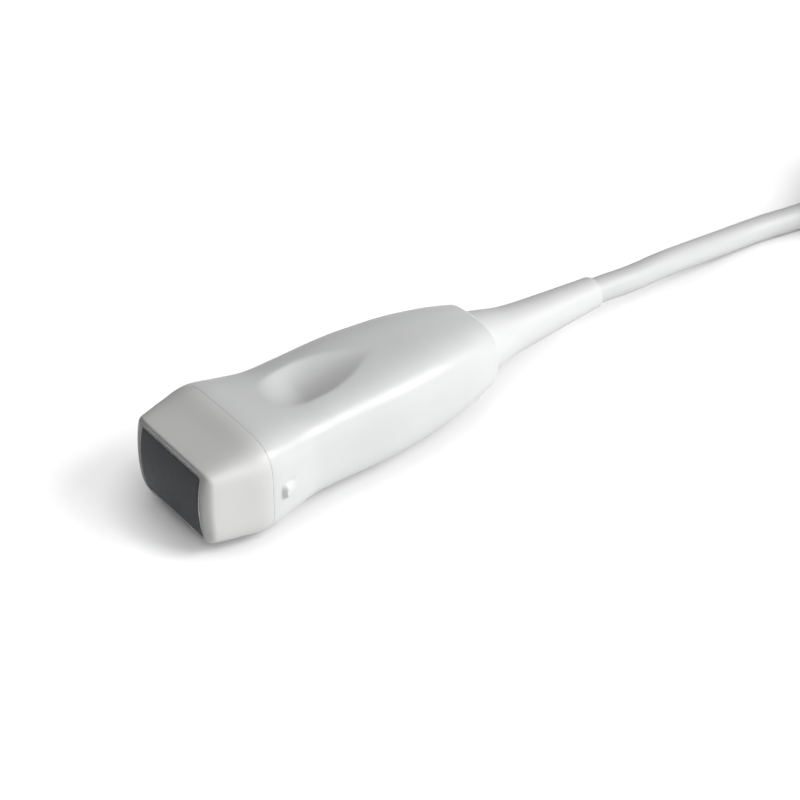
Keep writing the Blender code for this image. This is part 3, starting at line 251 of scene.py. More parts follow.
def outline(half_width, half_height, squareness):
    """A quarter of a superellipse in evenly shared points, from the side to the top."""
    angle = np.linspace(0, math.pi / 2, 900)
    x = half_width * np.cos(angle).clip(0) ** (2 / squareness)
    z = half_height * np.sin(angle).clip(0) ** (2 / squareness)
    run = np.concatenate([[0], np.cumsum(np.hypot(np.diff(x), np.diff(z)))])
    heading = np.unwrap(np.arctan2(np.gradient(z), np.gradient(x)))
    turn = np.concatenate([[0], np.cumsum(np.abs(np.diff(heading)))])
    measure = run / run[-1] + 0.55 * turn / turn[-1]
    wanted = np.linspace(0, measure[-1], RING_STEPS + 1)
    return list(zip(np.interp(wanted, measure, x), np.interp(wanted, measure, z)))


def ring(half_width, half_height, squareness, along):
    """A closed ring of the probe at a distance behind the nose face."""
    above, below = (
        [*quarter, *((-x, z) for x, z in reversed(quarter[:-1]))]
        for quarter in (
            outline(half_width, half_height, squareness),
            outline(half_width, half_height, squareness * UNDERSIDE),
        )
    )
    whole = above + [(x, -z) for x, z in reversed(below[1:-1])]
    return [Vector((AXIS_X + x, FACE_Y + along, AXIS_Z + z)) for x, z in whole]


def scallop(x, distance, deepest):
    """Depth of the thumb scallop: a drop shape, blunt in front and drawn out behind."""
    along = (distance - SCALLOP_START) / SCALLOP_LENGTH
    if not 0 < along < 1:
        return 0.0
    half_width = SCALLOP_WIDTH / 2 * through(SCALLOP_PLACES, SCALLOP_SHARES, along)
    across = min(abs(x) / max(half_width, 1e-6), 1.0)
    depth = ease(along / SCALLOP_RUN_IN) * ease((1 - along) / SCALLOP_RUN_OUT)
    return deepest * depth * (1 - across ** 2) ** SCALLOP_BOWL


def dish(ring_points, distance, deepest=SCALLOP_DEPTH):
    """Sinks a ring by the scallops above and below."""
    for point in ring_points:
        rise = point.z - AXIS_Z
        point.z -= math.copysign(scallop(point.x - AXIS_X, distance, deepest), rise)
    return ring_points


def bulge(level, crown):
    """How far a face crowned between the window's long edges stands out at a level."""
    half = LENS_HEIGHT / 2
    radius = (half ** 2 + crown ** 2) / (2 * crown)
    return math.sqrt(radius ** 2 - level ** 2) - (radius - crown)


def crowned(ring_points, crown, share=1.0):
    """Brings a ring forward by a share of the crown."""
    for point in ring_points:
        point.y -= bulge(point.z - AXIS_Z, crown) * share
    return ring_points


def lofted(rings, endless=False):
    """Bends a grid over rings of equal length, which closes round and, if endless, end to end."""
    rows = rings + rings[:1] if endless else rings
    around, deep = len(rings[0]), len(rows) - 1
    bm = bmesh.new()
    bmesh.ops.create_grid(bm, x_segments=around, y_segments=deep, size=0.5)
    for vert in bm.verts:
        i = round((vert.co.x + 0.5) * around) % around
        j = round((vert.co.y + 0.5) * deep)
        vert.co = rows[j][i]
    bmesh.ops.remove_doubles(bm, verts=bm.verts, dist=1e-7)
    bmesh.ops.dissolve_degenerate(bm, dist=1e-8, edges=bm.edges)
    return bm


def spun(profile, middle, axis, steps=96):
    """Spins a profile of (radius, length) pairs about an axis through a middle."""
    axis = Vector(axis)
    across = Vector((1, 0, 0)) if abs(axis.x) < 0.5 else Vector((0, 0, 1))
    bm = bmesh.new()
    verts = [bm.verts.new(Vector(middle) + across * r + axis * h) for r, h in profile]
    edges = [bm.edges.new(pair) for pair in zip(verts, verts[1:])]
    if profile[0][0] > 1e-7 or profile[-1][0] > 1e-7:
        edges.append(bm.edges.new((verts[-1], verts[0])))
    bmesh.ops.spin(
        bm, geom=verts + edges, cent=middle, axis=axis, dvec=(0, 0, 0),
        angle=math.tau, steps=steps, use_merge=True, use_duplicate=False,
    )
    bmesh.ops.remove_doubles(bm, verts=bm.verts, dist=1e-7)
    return bm


def box(low, high, bevel, segments):
    """A block between two corners with every edge rounded."""
    bm = bmesh.new()
    bmesh.ops.create_cube(bm, size=1.0)
    size = [b - a for a, b in zip(low, high)]
    middle = [(a + b) / 2 for a, b in zip(low, high)]
    bmesh.ops.scale(bm, vec=size, verts=bm.verts)
    bmesh.ops.translate(bm, vec=middle, verts=bm.verts)
    bmesh.ops.bevel(
        bm, geom=list(bm.edges), offset=bevel, offset_type="OFFSET", affect="EDGES",
        segments=segments, profile=0.5, material=-1, clamp_overlap=True,
    )
    return bm


def piece(name, bm, stuff, slot, *stands_for, sharp=40.0):
    """Finishes a mesh as a named piece that rides on the object."""
    bmesh.ops.recalc_face_normals(bm, faces=bm.faces)
    mesh = bpy.data.meshes.new(name)
    bm.to_mesh(mesh)
    bm.free()
    mesh.shade_smooth()
    mesh.set_sharp_from_angle(angle=math.radians(sharp))
    mesh.materials.append(stuff)
    made = bpy.data.objects.new(name, mesh)
    bpy.context.scene.collection.objects.link(made)
    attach(made, "root")
    if stands_for:
        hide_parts(*stands_for)
    return made


# Materials

class Finish:
    """Collects the nodes of one procedural material."""

    def __init__(self, name, metallic=0.0):
        self.stuff = bpy.data.materials.new(name)
        self.stuff.use_nodes = True
        self.tree = self.stuff.node_tree
        self.shader = self.tree.nodes["Principled BSDF"]
        self.shader.inputs["Metallic"].default_value = metallic
        self.coords = self.tree.nodes.new("ShaderNodeTexCoord").outputs["Object"]

    def link(self, out, into):
        self.tree.links.new(out, into)

    def stretched(self, scale, coords=None):
        node = self.tree.nodes.new("ShaderNodeMapping")
        node.inputs["Scale"].default_value = scale
        self.link(coords or self.coords, node.inputs["Vector"])
        return node.outputs["Vector"]

    def noise(self, scale, detail=3.0, coords=None):
        node = self.tree.nodes.new("ShaderNodeTexNoise")
        node.inputs["Scale"].default_value = scale
        node.inputs["Detail"].default_value = detail
        self.link(coords or self.coords, node.inputs["Vector"])
        return node.outputs["Fac"]

    def waves(self, scale, direction, distortion=0.0):
        node = self.tree.nodes.new("ShaderNodeTexWave")
        node.bands_direction = direction
        node.inputs["Scale"].default_value = scale
        node.inputs["Distortion"].default_value = distortion
        self.link(self.coords, node.inputs["Vector"])
        return node.outputs["Fac"]

    def cells(self, scale):
        node = self.tree.nodes.new("ShaderNodeTexVoronoi")
        node.inputs["Scale"].default_value = scale
        self.link(self.coords, node.inputs["Vector"])
        return node.outputs["Distance"]

    def between(self, fac, low, high, start=0.3, end=0.7):
        node = self.tree.nodes.new("ShaderNodeMapRange")
        node.inputs["From Min"].default_value = start
        node.inputs["From Max"].default_value = end
        node.inputs["To Min"].default_value = low
        node.inputs["To Max"].default_value = high
        self.link(fac, node.inputs["Value"])
        return node.outputs["Result"]

    def blend(self, fac, first, second, start=0.3, end=0.7):
        ramp = self.tree.nodes.new("ShaderNodeValToRGB")
        ramp.color_ramp.elements[0].position = start
        ramp.color_ramp.elements[1].position = end
        ramp.color_ramp.elements[0].color = (*first, 1.0)
        ramp.color_ramp.elements[1].color = (*second, 1.0)
        self.link(fac, ramp.inputs["Fac"])
        return ramp.outputs["Color"]

    def colour(self, out):
        self.link(out, self.shader.inputs["Base Color"])

    def rough(self, out):
        self.link(out, self.shader.inputs["Roughness"])

    def raise_by(self, *layers):
        """Stacks bumps: each layer is a height and its depth in metres."""
        normal = None
        for height, depth in layers:
            node = self.tree.nodes.new("ShaderNodeBump")
            node.inputs["Strength"].default_value = 1.0
            node.inputs["Distance"].default_value = depth
            self.link(height, node.inputs["Height"])
            if normal:
                self.link(normal, node.inputs["Normal"])
            normal = node.outputs["Normal"]
        self.link(normal, self.shader.inputs["Normal"])

    def set(self, **values):
        """Writes constant values on the shader, with _ for the blanks in a socket's name."""
        for name, value in values.items():
            self.shader.inputs[name.replace("_", " ")].default_value = value


def shade(colour, factor):
    return tuple(min(c * factor, 1.0) for c in colour)


def moulded(name, colour, rough, grain=2400.0):
    """Moulded plastic: fine spark texture, faint waviness and uneven gloss."""
    made = Finish(name)
    fine = made.noise(grain, 2.0)
    broad = made.noise(70.0, 2.0)
    made.colour(made.blend(broad, shade(colour, 0.98), colour, 0.35, 0.65))
    made.rough(made.between(made.noise(450.0, 3.0), rough - 0.04, rough + 0.05))
    made.raise_by((fine, 0.000006), (made.noise(260.0, 1.0), 0.000015))
    made.set(Specular_IOR_Level=0.45)
    return made.stuff


def rubbery(name, colour, rough=0.5, mottle=0.03):
    """Soft moulded rubber or silicone with a dull skin and specks of dust."""
    made = Finish(name)
    made.colour(made.blend(made.noise(120.0, 4.0), shade(colour, 1 - mottle), colour))
    made.rough(made.between(made.noise(900.0, 3.0), rough - 0.05, rough + 0.07))
    made.raise_by((made.noise(3200.0, 2.0), 0.000005), (made.noise(420.0, 2.0), 0.00001))
    return made.stuff


def metal(name, colour, rough, stretch=(1.0, 1.0, 1.0), scale=900.0):
    """Machined or sheet metal with fine tool marks along one direction."""
    made = Finish(name, 1.0)
    marks = made.noise(scale, 4.0, made.stretched(stretch))
    made.colour(made.blend(made.noise(160.0, 3.0), shade(colour, 0.86), colour))
    made.rough(made.between(marks, rough - 0.08, rough + 0.12))
    made.raise_by((marks, 0.000012))
    return made.stuff


def cable_jacket(name, colour):
    """Extruded jacket: faint lengthwise draw lines and a slightly uneven satin skin."""
    made = Finish(name)
    uv = made.tree.nodes.new("ShaderNodeTexCoord").outputs["UV"]
    lines = made.noise(1.0, 2.0, made.stretched((9.0, 60.0, 1.0), uv))
    made.colour(made.blend(lines, shade(colour, 0.965), colour, 0.35, 0.65))
    made.rough(made.between(made.noise(700.0, 3.0), 0.40, 0.52))
    made.raise_by((made.noise(1500.0, 2.0), 0.000006), (lines, 0.00001))
    return made.stuff


def circuit(name, colour):
    """Solder mask over faint copper traces and bare pads."""
    made = Finish(name)
    grid = made.waves(520.0, "X", 3.0)
    lanes = made.waves(430.0, "Y", 2.0)
    mask = made.blend(grid, colour, shade(colour, 1.7), 0.62, 0.70)
    pads = made.cells(900.0)
    mix = made.tree.nodes.new("ShaderNodeMix")
    mix.data_type = "RGBA"
    made.link(made.between(pads, 1.0, 0.0, 0.10, 0.14), mix.inputs["Factor"])
    made.link(mask, mix.inputs["A"])
    mix.inputs["B"].default_value = (0.62, 0.50, 0.24, 1.0)
    made.colour(mix.outputs["Result"])
    made.rough(made.between(lanes, 0.30, 0.45))
    made.raise_by((grid, 0.00002))
    return made.stuff


def hook_and_loop(name, colour):
    """Woven strap with a looped nap."""
    made = Finish(name)
    nap = made.cells(1900.0)
    weave = made.waves(700.0, "Y", 1.5)
    made.colour(made.blend(nap, shade(colour, 1.5), shade(colour, 0.55), 0.15, 0.75))
    made.rough(made.between(made.noise(500.0, 2.0), 0.82, 0.96))
    made.raise_by((weave, 0.00006), (nap, 0.00016))
    made.set(Sheen_Weight=0.35, Sheen_Roughness=0.5)
    return made.stuff


# Cable route

def lead_points(radius):
    """From the boot's tip down to the floor, and along it to the side of the hank."""
    x, y, z = AXIS_X, BOOT_TIP_Y, AXIS_Z
    beside = BUNDLE_OUTSIDE + REST_GAP + radius
    turn = [(HANK_X + beside * math.cos(a), HANK_Y + beside * math.sin(a), radius)
            for a in (math.radians(degrees) for degrees in (214, 197, 180))]
    return [
        (x, y - 0.0005, z - BOOT_DROOP), (x, y + 0.0052, z - BOOT_DROOP - 0.0005),
        (x + 0.0001, y + 0.0108, z - BOOT_DROOP - 0.0010),
        (-0.0012, 0.0819, 0.0093), (-0.0032, 0.0939, 0.0067), (-0.0047, 0.1059, 0.0044),
        (-0.0050, 0.1179, radius), (-0.0034, 0.1280, radius), (-0.0026, 0.1345, radius),
        (-0.0033, 0.1411, radius), (-0.0055, 0.1471, radius), *turn,
    ]


def hank_spot(radius, height, share):
    """A point at a share of one turn: left run, far fold, right run and near fold."""
    mean = (INNER_TURN + OUTER_TURN) / 2
    lap = 2 * HANK_RUN + math.tau * mean
    run, fold = HANK_RUN / lap, math.pi * mean / lap
    share %= 1.0
    if share < run:
        x, y = -radius, share * lap
    elif share < run + fold:
        turn = math.pi * (1 - (share - run) / fold)
        x, y = radius * math.cos(turn), HANK_RUN + radius * math.sin(turn)
    elif share < 2 * run + fold:
        x, y = radius, HANK_RUN - (share - run - fold) * lap
    else:
        turn = -math.pi * (share - 2 * run - fold) / fold
        x, y = radius * math.cos(turn), radius * math.sin(turn)
    return (HANK_X + x, HANK_Y + y, height)


def hank_points(radius):
    """Six turns laid beside and on each other, each step from place to place in turn."""
    lap = 2 * HANK_RUN + math.tau * (INNER_TURN + OUTER_TURN) / 2
    start, step = 0.0090 / lap, 0.0360 / lap
    beside = BUNDLE_OUTSIDE + REST_GAP + radius
    levels = [HANK_BASE + TURN_PITCH * (k + 0.5) for k in range(3)]
    last = HANK_TOP + REST_GAP + radius
    across = [
        (start, beside, OUTER_TURN), (1 + start, OUTER_TURN, INNER_TURN),
        (3 + start - 0.6 * step, INNER_TURN, OUTER_TURN),
        (5 + start - 1.2 * step, OUTER_TURN, INNER_TURN),
    ]
    up = [
        (start, radius, levels[0]), (2 + start - 0.3 * step, levels[0], levels[1]),
        (4 + start - 0.9 * step, levels[1], levels[2]), (6 + start - 1.5 * step, levels[2], last),
    ]

    def read(steps, t):
        value = steps[0][1]
        for begin, low, high in steps:
            if t > begin:
                value = low + (high - low) * ease((t - begin) / step)
        return value

    count = int(6 * lap / 0.0040)
    return [
        hank_spot(read(across, t), read(up, t), t)
        for t in (start + (6.0 - start) * k / count for k in range(count + 1))
    ]


def tail_points(radius):
    """From the top of the near fold up and over the hank's open middle to the relief."""
    low = HANK_TOP + REST_GAP + radius
    high = HANK_TOP + REST_GAP + 0.0090
    rise = high - low
    arc = [
        (HANK_X + INNER_TURN * math.cos(a), HANK_Y + INNER_TURN * math.sin(a), low + share * rise)
        for a, share in ((math.radians(d), s) for d, s in ((162, 0.06), (144, 0.22), (127, 0.45)))
    ]
    return arc + [
        (HANK_X - 0.0068, HANK_Y + 0.0199, low + 0.66 * rise),
        (HANK_X - 0.0029, HANK_Y + 0.0254, low + 0.86 * rise),
        (HANK_X - 0.0006, HANK_Y + 0.0308, low + 0.98 * rise),
        (HANK_X, HANK_Y + CONNECTOR_STEP - 0.0035, high),
        (HANK_X, HANK_Y + CONNECTOR_STEP - 0.0002, high),
    ]


def smooth_line(points, spacing):
    """Even, smooth points through a route's own points."""
    spots = np.array(points)
    run = np.concatenate([[0], np.cumsum(np.linalg.norm(np.diff(spots, axis=0), axis=1))])
    slope = np.gradient(spots, run, axis=0)
    found = []
    for length in np.linspace(0, run[-1], int(run[-1] / spacing) + 1):
        i = int(np.clip(np.searchsorted(run, length) - 1, 0, len(run) - 2))
        stretch = slice(i, i + 2)
        found.append(cubic(length - run[i], run[i + 1] - run[i], spots[stretch], slope[stretch]))
    return found


# Values that a user would change

class ProbeSizes(bpy.types.PropertyGroup):
    cable_diameter: FloatProperty(
        name="Cable diameter", description="Outer diameter of the cable's jacket",
        default=0.0063, unit="LENGTH",
    )
    cable_length: FloatProperty(
        name="Cable length", description="Length of the cable from strain relief to connector",
        default=1.8, unit="LENGTH",
    )
    seam: FloatProperty(
        name="Seam", description="Width of the seam between nose and handle",
        default=0.00003, unit="LENGTH",
    )
    ridge_rise: FloatProperty(
        name="Ridge rise", description="Height of the orientation ridge over the skin",
        default=0.0011, unit="LENGTH",
    )
    facets: IntProperty(
        name="Facets", description="Facets round a turned piece", default=96, min=24, max=160,
    )


def paint(name, what, default):
    return FloatVectorProperty(
        name=name, description=what, default=default, subtype="COLOR", size=3, min=0.0, max=1.0,
    )


class ProbeColours(bpy.types.PropertyGroup):
    handle: paint("Handle", "Colour of the handle's moulding", (0.795, 0.80, 0.803))
    nose: paint("Nose", "Colour of the nose piece", (0.815, 0.816, 0.805))
    lens: paint("Lens", "Colour of the silicone lens", (0.0146, 0.0180, 0.0250))
    bond: paint("Bond", "Colour of the bond line round the lens", (0.80, 0.80, 0.79))
    boot: paint("Boot", "Colour of the strain relief", (0.82, 0.822, 0.826))
    cable: paint("Cable", "Colour of the cable's jacket", (0.735, 0.738, 0.742))
    connector: paint("Connector", "Colour of the connector's housing", (0.78, 0.785, 0.79))
    tie: paint("Tie", "Colour of the hank's ties", (0.05, 0.055, 0.06))
    floor: paint("Floor", "Colour of the floor", (0.85, 0.85, 0.85))


def sizes():
    return bpy.context.scene.probe_sizes


def colours():
    return bpy.context.scene.probe_colours


# Operators

class PROBE_OT_camera(bpy.types.Operator):
    """Place the camera at the picture's angle"""
    bl_idname = "probe.camera"
    bl_label = "Camera"

    def execute(self, context):
        turn, lift = math.radians(CAMERA_TURN), math.radians(CAMERA_LIFT)
        level = math.cos(lift)
        back = Vector((math.sin(turn) * level, -math.cos(turn) * level, math.sin(lift)))
        data = bpy.data.cameras.new("camera")
        data.lens = CAMERA_FOCAL_LENGTH
        data.sensor_width = 36.0
        data.clip_start = 0.01
        data.clip_end = 20.0
        camera = bpy.data.objects.new("camera", data)
        camera.location = Vector(CAMERA_TARGET) + back * CAMERA_DISTANCE
        camera.rotation_mode = "QUATERNION"
        camera.rotation_quaternion = (-back).to_track_quat("-Z", "Y")
        context.scene.collection.objects.link(camera)
        context.scene.camera = camera
        return {"FINISHED"}


class PROBE_OT_cable(bpy.types.Operator):
    """Lay the cable: lead, hank and tail on one smooth line"""
    bl_idname = "probe.cable"
    bl_label = "Cable"

    def execute(self, context):
        radius = sizes().cable_diameter / 2
        route = lead_points(radius) + hank_points(radius) + tail_points(radius)
        curve = bpy.data.curves.new("cable", "CURVE")
        curve.dimensions = "3D"
        curve.bevel_depth = radius
        curve.bevel_resolution = 10
        curve.use_fill_caps = True
        spline = curve.splines.new("POLY")
        spots = smooth_line(route, 0.0028)
        spline.points.add(len(spots) - 1)
        for point, spot in zip(spline.points, spots):
            point.co = (*spot[:2], max(spot[2], radius), 1.0)
        spline.use_smooth = True
        curve.materials.append(cable_jacket("cable_jacket", colours().cable))
        made = bpy.data.objects.new("cable", curve)
        context.scene.collection.objects.link(made)
        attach(made, "root")
        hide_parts("cable_lead", "cable_hank", "cable_tail")
        return {"FINISHED"}


class PROBE_OT_handle(bpy.types.Operator):
    """Mould the handle with its scallops and orientation ridge"""
    bl_idname = "probe.handle"
    bl_label = "Handle"

    def execute(self, context):
        front = NOSE_LENGTH
        rear = BODY_LENGTH - REAR_ROUNDING
        rings = []
        half_width, half_height, square = section(front)
        for lack, gone in rounding(4, 0, 3):
            rim = (half_width - EDGE * lack, half_height - EDGE * lack, square)
            rings.append(ring(*rim, front + EDGE * gone))
        for distance in np.linspace(front + EDGE, rear, 150):
            rings.append(dish(ring(*section(distance), distance), distance))
        base = section(rear)
        for lack, inset in rounding(8, 1, 8):
            distance = rear + REAR_ROUNDING * (1 - lack)
            half_width, half_height, _ = (base + section(distance)) / 2 - REAR_ROUNDING * inset
            rings.append(ring(half_width, half_height, base[2], distance))
        for opening, depth in (
            (REAR_OPENING + REAR_OPENING_EDGE, 0.0), (REAR_OPENING, REAR_OPENING_EDGE),
            (REAR_OPENING, REAR_WALL),
        ):
            rings.append(ring(opening, opening, 2.0, BODY_LENGTH - depth))
        for distance in np.linspace(BODY_LENGTH - REAR_WALL, front, 30):
            half_width, half_height, square = section(distance)
            inner = ring(half_width - HANDLE_WALL, half_height - HANDLE_WALL, square, distance)
            rings.append(dish(inner, distance, SCALLOP_DEPTH_INSIDE))
        bm = lofted(rings, endless=True)
        self.add_ridge(bm)
        plastic = moulded("handle_moulding", colours().handle, 0.33)
        piece("handle", bm, plastic, "handle", "handle_shell", sharp=60)
        return {"FINISHED"}

    def add_ridge(self, bm):
        """Refines the skin round the ridge and raises it: steep in front, fading behind."""
        def near(vert):
            along = vert.co.y - FACE_Y - RIDGE_PLACE
            beside = -RIDGE_FRONT - RIDGE_MARGIN < along < RIDGE_REAR + RIDGE_MARGIN
            level = abs(vert.co.z - AXIS_Z) < RIDGE_HALF_HEIGHT + 1.1 * RIDGE_MARGIN
            return beside and level and vert.co.x > AXIS_X + RIDGE_SKIN_X

        region = [edge for edge in bm.edges if all(near(vert) for vert in edge.verts)]
        bmesh.ops.subdivide_edges(bm, edges=region, cuts=3, use_grid_fill=True)
        for vert in bm.verts:
            if not near(vert):
                continue
            distance = vert.co.y - FACE_Y
            level = vert.co.z - AXIS_Z
            half_width, half_height, square = section(distance)
            square *= 1.0 if level > 0 else UNDERSIDE
            skin = half_width * (1 - abs(level / half_height) ** square) ** (1 / square)
            vert.co.x = AXIS_X + skin + self.ridge(distance, level)

    def ridge(self, distance, level):
        """How far the ridge stands out: a rounded block with eased slopes."""
        along = distance - RIDGE_PLACE
        length, slope = RIDGE_REAR, RIDGE_REAR_SLOPE
        if along < 0:
            length, slope = RIDGE_FRONT, RIDGE_FRONT_SLOPE
        parts = abs(along / length), abs(level / RIDGE_HALF_HEIGHT)
        reach = sum(part ** RIDGE_SQUARENESS for part in parts) ** (1 / RIDGE_SQUARENESS)
        return sizes().ridge_rise * ease((1 - reach) / slope)


class PROBE_OT_nose(bpy.types.Operator):
    """Mould the nose piece round the lens window"""
    bl_idname = "probe.nose"
    bl_label = "Nose piece"

    def execute(self, context):
        window = (LENS_WIDTH / 2 + WINDOW_GAP, LENS_HEIGHT / 2 + WINDOW_GAP)
        face_half_width, face_half_height, face_square = section(0.0)
        rings = []

        def made(half_width, half_height, square, distance):
            outwards = (half_width - window[0]) / (face_half_width - window[0])
            share = (1 - ease(distance / FACE_FADE)) * (1 - CROWN_LOSS * ease(outwards))
            return crowned(ring(half_width, half_height, square, distance), FACE_CROWN, share)

        def add(*values):
            rings.append(made(*values))

        def rim(lack, gone, depth):
            distance = depth * gone - RIM_PROUD * (1 - gone)
            half_width, half_height, square = section(distance)
            return half_width - RIM_SIDE * lack, half_height - RIM_TOP * lack, square, distance

        for lack, gone in rounding(4, 0, 3):
            out = WINDOW_EDGE * gone
            add(window[0] + out, window[1] + out, WINDOW_SQUARENESS, WINDOW_EDGE * lack)
        inner = (window[0] + WINDOW_EDGE, window[1] + WINDOW_EDGE, WINDOW_SQUARENESS)
        outer = (face_half_width - RIM_SIDE, face_half_height - RIM_TOP, face_square)
        for share, depth in COVE:
            add(*(a + (b - a) * share for a, b in zip(inner, outer)), depth)
        for turn in rounding(10, 0, 10):
            at_side, at_top = rim(*turn, RIM_SIDE_DEPTH), rim(*turn, RIM_TOP_DEPTH)
            rings.append([
                above.lerp(beside, (abs(beside.x - AXIS_X) / at_side[0]) ** RIM_BLEND)
                for beside, above in zip(made(*at_side), made(*at_top))
            ])
        rear = NOSE_LENGTH - sizes().seam
        for distance in np.linspace(RIM_SIDE_DEPTH, rear - EDGE, 34)[1:]:
            add(*section(distance), distance)
        half_width, half_height, square = section(rear)
        for lack, gone in rounding(3, 1, 3):
            inset = EDGE * gone
            add(half_width - inset, half_height - inset, square, rear - EDGE * lack)
        hold = HANDLE_WALL + WINDOW_GAP
        end = NOSE_LENGTH + SPIGOT_LENGTH
        for distance in (rear, end):
            half_width, half_height, square = section(distance)
            rings.append(ring(half_width - hold, half_height - hold, square, distance))
        half_width, half_height, square = section(end)
        bore = (half_width - SPIGOT_BORE_INSET, half_height - SPIGOT_BORE_INSET, square)
        rings.append(ring(*bore, end))
        cavity = (LENS_WIDTH / 2 + 0.0013, LENS_HEIGHT / 2 + 0.0010, 9.0)
        rings.append(ring(*cavity, NOSE_LENGTH / 2))
        rings.append(ring(*cavity, NOSE_LIP))
        add(*window, WINDOW_SQUARENESS, NOSE_LIP)
        bm = lofted(rings, endless=True)
        plastic = moulded("nose_moulding", colours().nose, 0.46)
        piece("nose", bm, plastic, "nose", "nose_piece", sharp=50)
        return {"FINISHED"}


class PROBE_OT_lens(bpy.types.Operator):
    """Cast the acoustic lens and the bond line round it"""
    bl_idname = "probe.lens"
    bl_label = "Acoustic lens"

    def execute(self, context):
        half_width, half_height = LENS_WIDTH / 2, LENS_HEIGHT / 2
        rings = []
        for share in (0.0, 0.12, 0.25, 0.4, 0.55, 0.7, 0.82, 0.92, 1.0):
            reach = ((half - LENS_EDGE) * share or 1e-6 for half in (half_width, half_height))
            rings.append(crowned(ring(*reach, WINDOW_SQUARENESS, 0.0), LENS_CROWN))
        for lack, gone in rounding(5, 1, 5):
            reach = (half - LENS_EDGE * lack for half in (half_width, half_height))
            rings.append(crowned(ring(*reach, WINDOW_SQUARENESS, LENS_EDGE * gone), LENS_CROWN))
        back = NOSE_LIP + WINDOW_GAP
        flange = (half_width + LENS_FLANGE, half_height + LENS_FLANGE, WINDOW_SQUARENESS)
        rings.append(ring(half_width, half_height, WINDOW_SQUARENESS, back))
        rings.append(ring(*flange, back))
        rings.append(ring(*flange, back + 0.0010))
        rings.append(ring(1e-6, 1e-6, WINDOW_SQUARENESS, back + 0.0010))
        bm = lofted(rings)
        bmesh.ops.remove_doubles(bm, verts=bm.verts, dist=0.000004)
        piece("lens", bm, self.silicone(), "lens", "acoustic_lens", sharp=50)
        self.bond_line()
        return {"FINISHED"}

    def silicone(self):
        made = Finish("lens_silicone")
        tint = colours().lens
        made.colour(made.blend(made.noise(60.0, 2.0), shade(tint, 0.95), shade(tint, 1.05)))
        made.rough(made.between(made.noise(600.0, 3.0), 0.36, 0.42))
        made.raise_by((made.noise(2600.0, 2.0), 0.000002))
        made.set(Specular_IOR_Level=0.2)
        return made.stuff

    def bond_line(self):
        """A bead of adhesive that fills the gap between lens and window."""
        rings = []
        inner, outer = 0.00001, WINDOW_GAP - 0.00001
        bead = (
            (inner, 0.0014), (inner, 0.00002), (0.00006, -0.00007), (0.00013, -0.00010),
            (0.00020, -0.00007), (outer, 0.00002), (outer, 0.0014),
        )
        for out, along in bead:
            flat = ring(LENS_WIDTH / 2 + out, LENS_HEIGHT / 2 + out, WINDOW_SQUARENESS, along)
            rings.append(crowned(flat, (LENS_CROWN + FACE_CROWN) / 2))
        bm = lofted(rings, endless=True)
        piece("bond_line", bm, rubbery("bond_adhesive", colours().bond, 0.35), "epoxy")


class PROBE_OT_strain_relief(bpy.types.Operator):
    """Turn the tapered strain relief"""
    bl_idname = "probe.strain_relief"
    bl_label = "Strain relief"

    def execute(self, context):
        start = BODY_LENGTH + BOOT_GAP
        length = BOOT_TIP_Y - FACE_Y - start
        end = start + length

        def taper(share):
            return BOOT_TIP + (BOOT_BASE - BOOT_TIP) * through(BOOT_PLACES, BOOT_BLENDS, share)

        profile = [
            (0.0, start - 0.006), (PLUG_RADIUS, start - 0.006), (PLUG_RADIUS, start - 0.0032),
            (PLUG_NECK, start - 0.0030), (PLUG_NECK, start), (BOOT_BASE - BOOT_ROOT, start),
        ]
        base = taper(BOOT_ROOT / length)
        for lack, gone in rounding(4, 1, 4):
            profile.append((base - BOOT_ROOT * lack, start + BOOT_ROOT * gone))
        for share in np.linspace(BOOT_ROOT / length, 1 - BOOT_LIP / length, 72)[1:]:
            profile.append((taper(share), start + share * length))
        for lack, gone in rounding(7, 1, 7):
            profile.append((BOOT_TIP - BOOT_LIP * gone, end - BOOT_LIP * lack))
        profile += [(0.0031, end - 0.0006), (0.0, end - 0.0006)]
        bm = spun(profile, (AXIS_X, FACE_Y, AXIS_Z), (0, 1, 0), sizes().facets)
        for vert in bm.verts:
            vert.co.z -= BOOT_DROOP * ease((vert.co.y - FACE_Y - start) / (0.5 * length))
        rubber = rubbery("boot_rubber", colours().boot, 0.48)
        piece("boot", bm, rubber, "boot", "strain_relief", sharp=50)
        return {"FINISHED"}


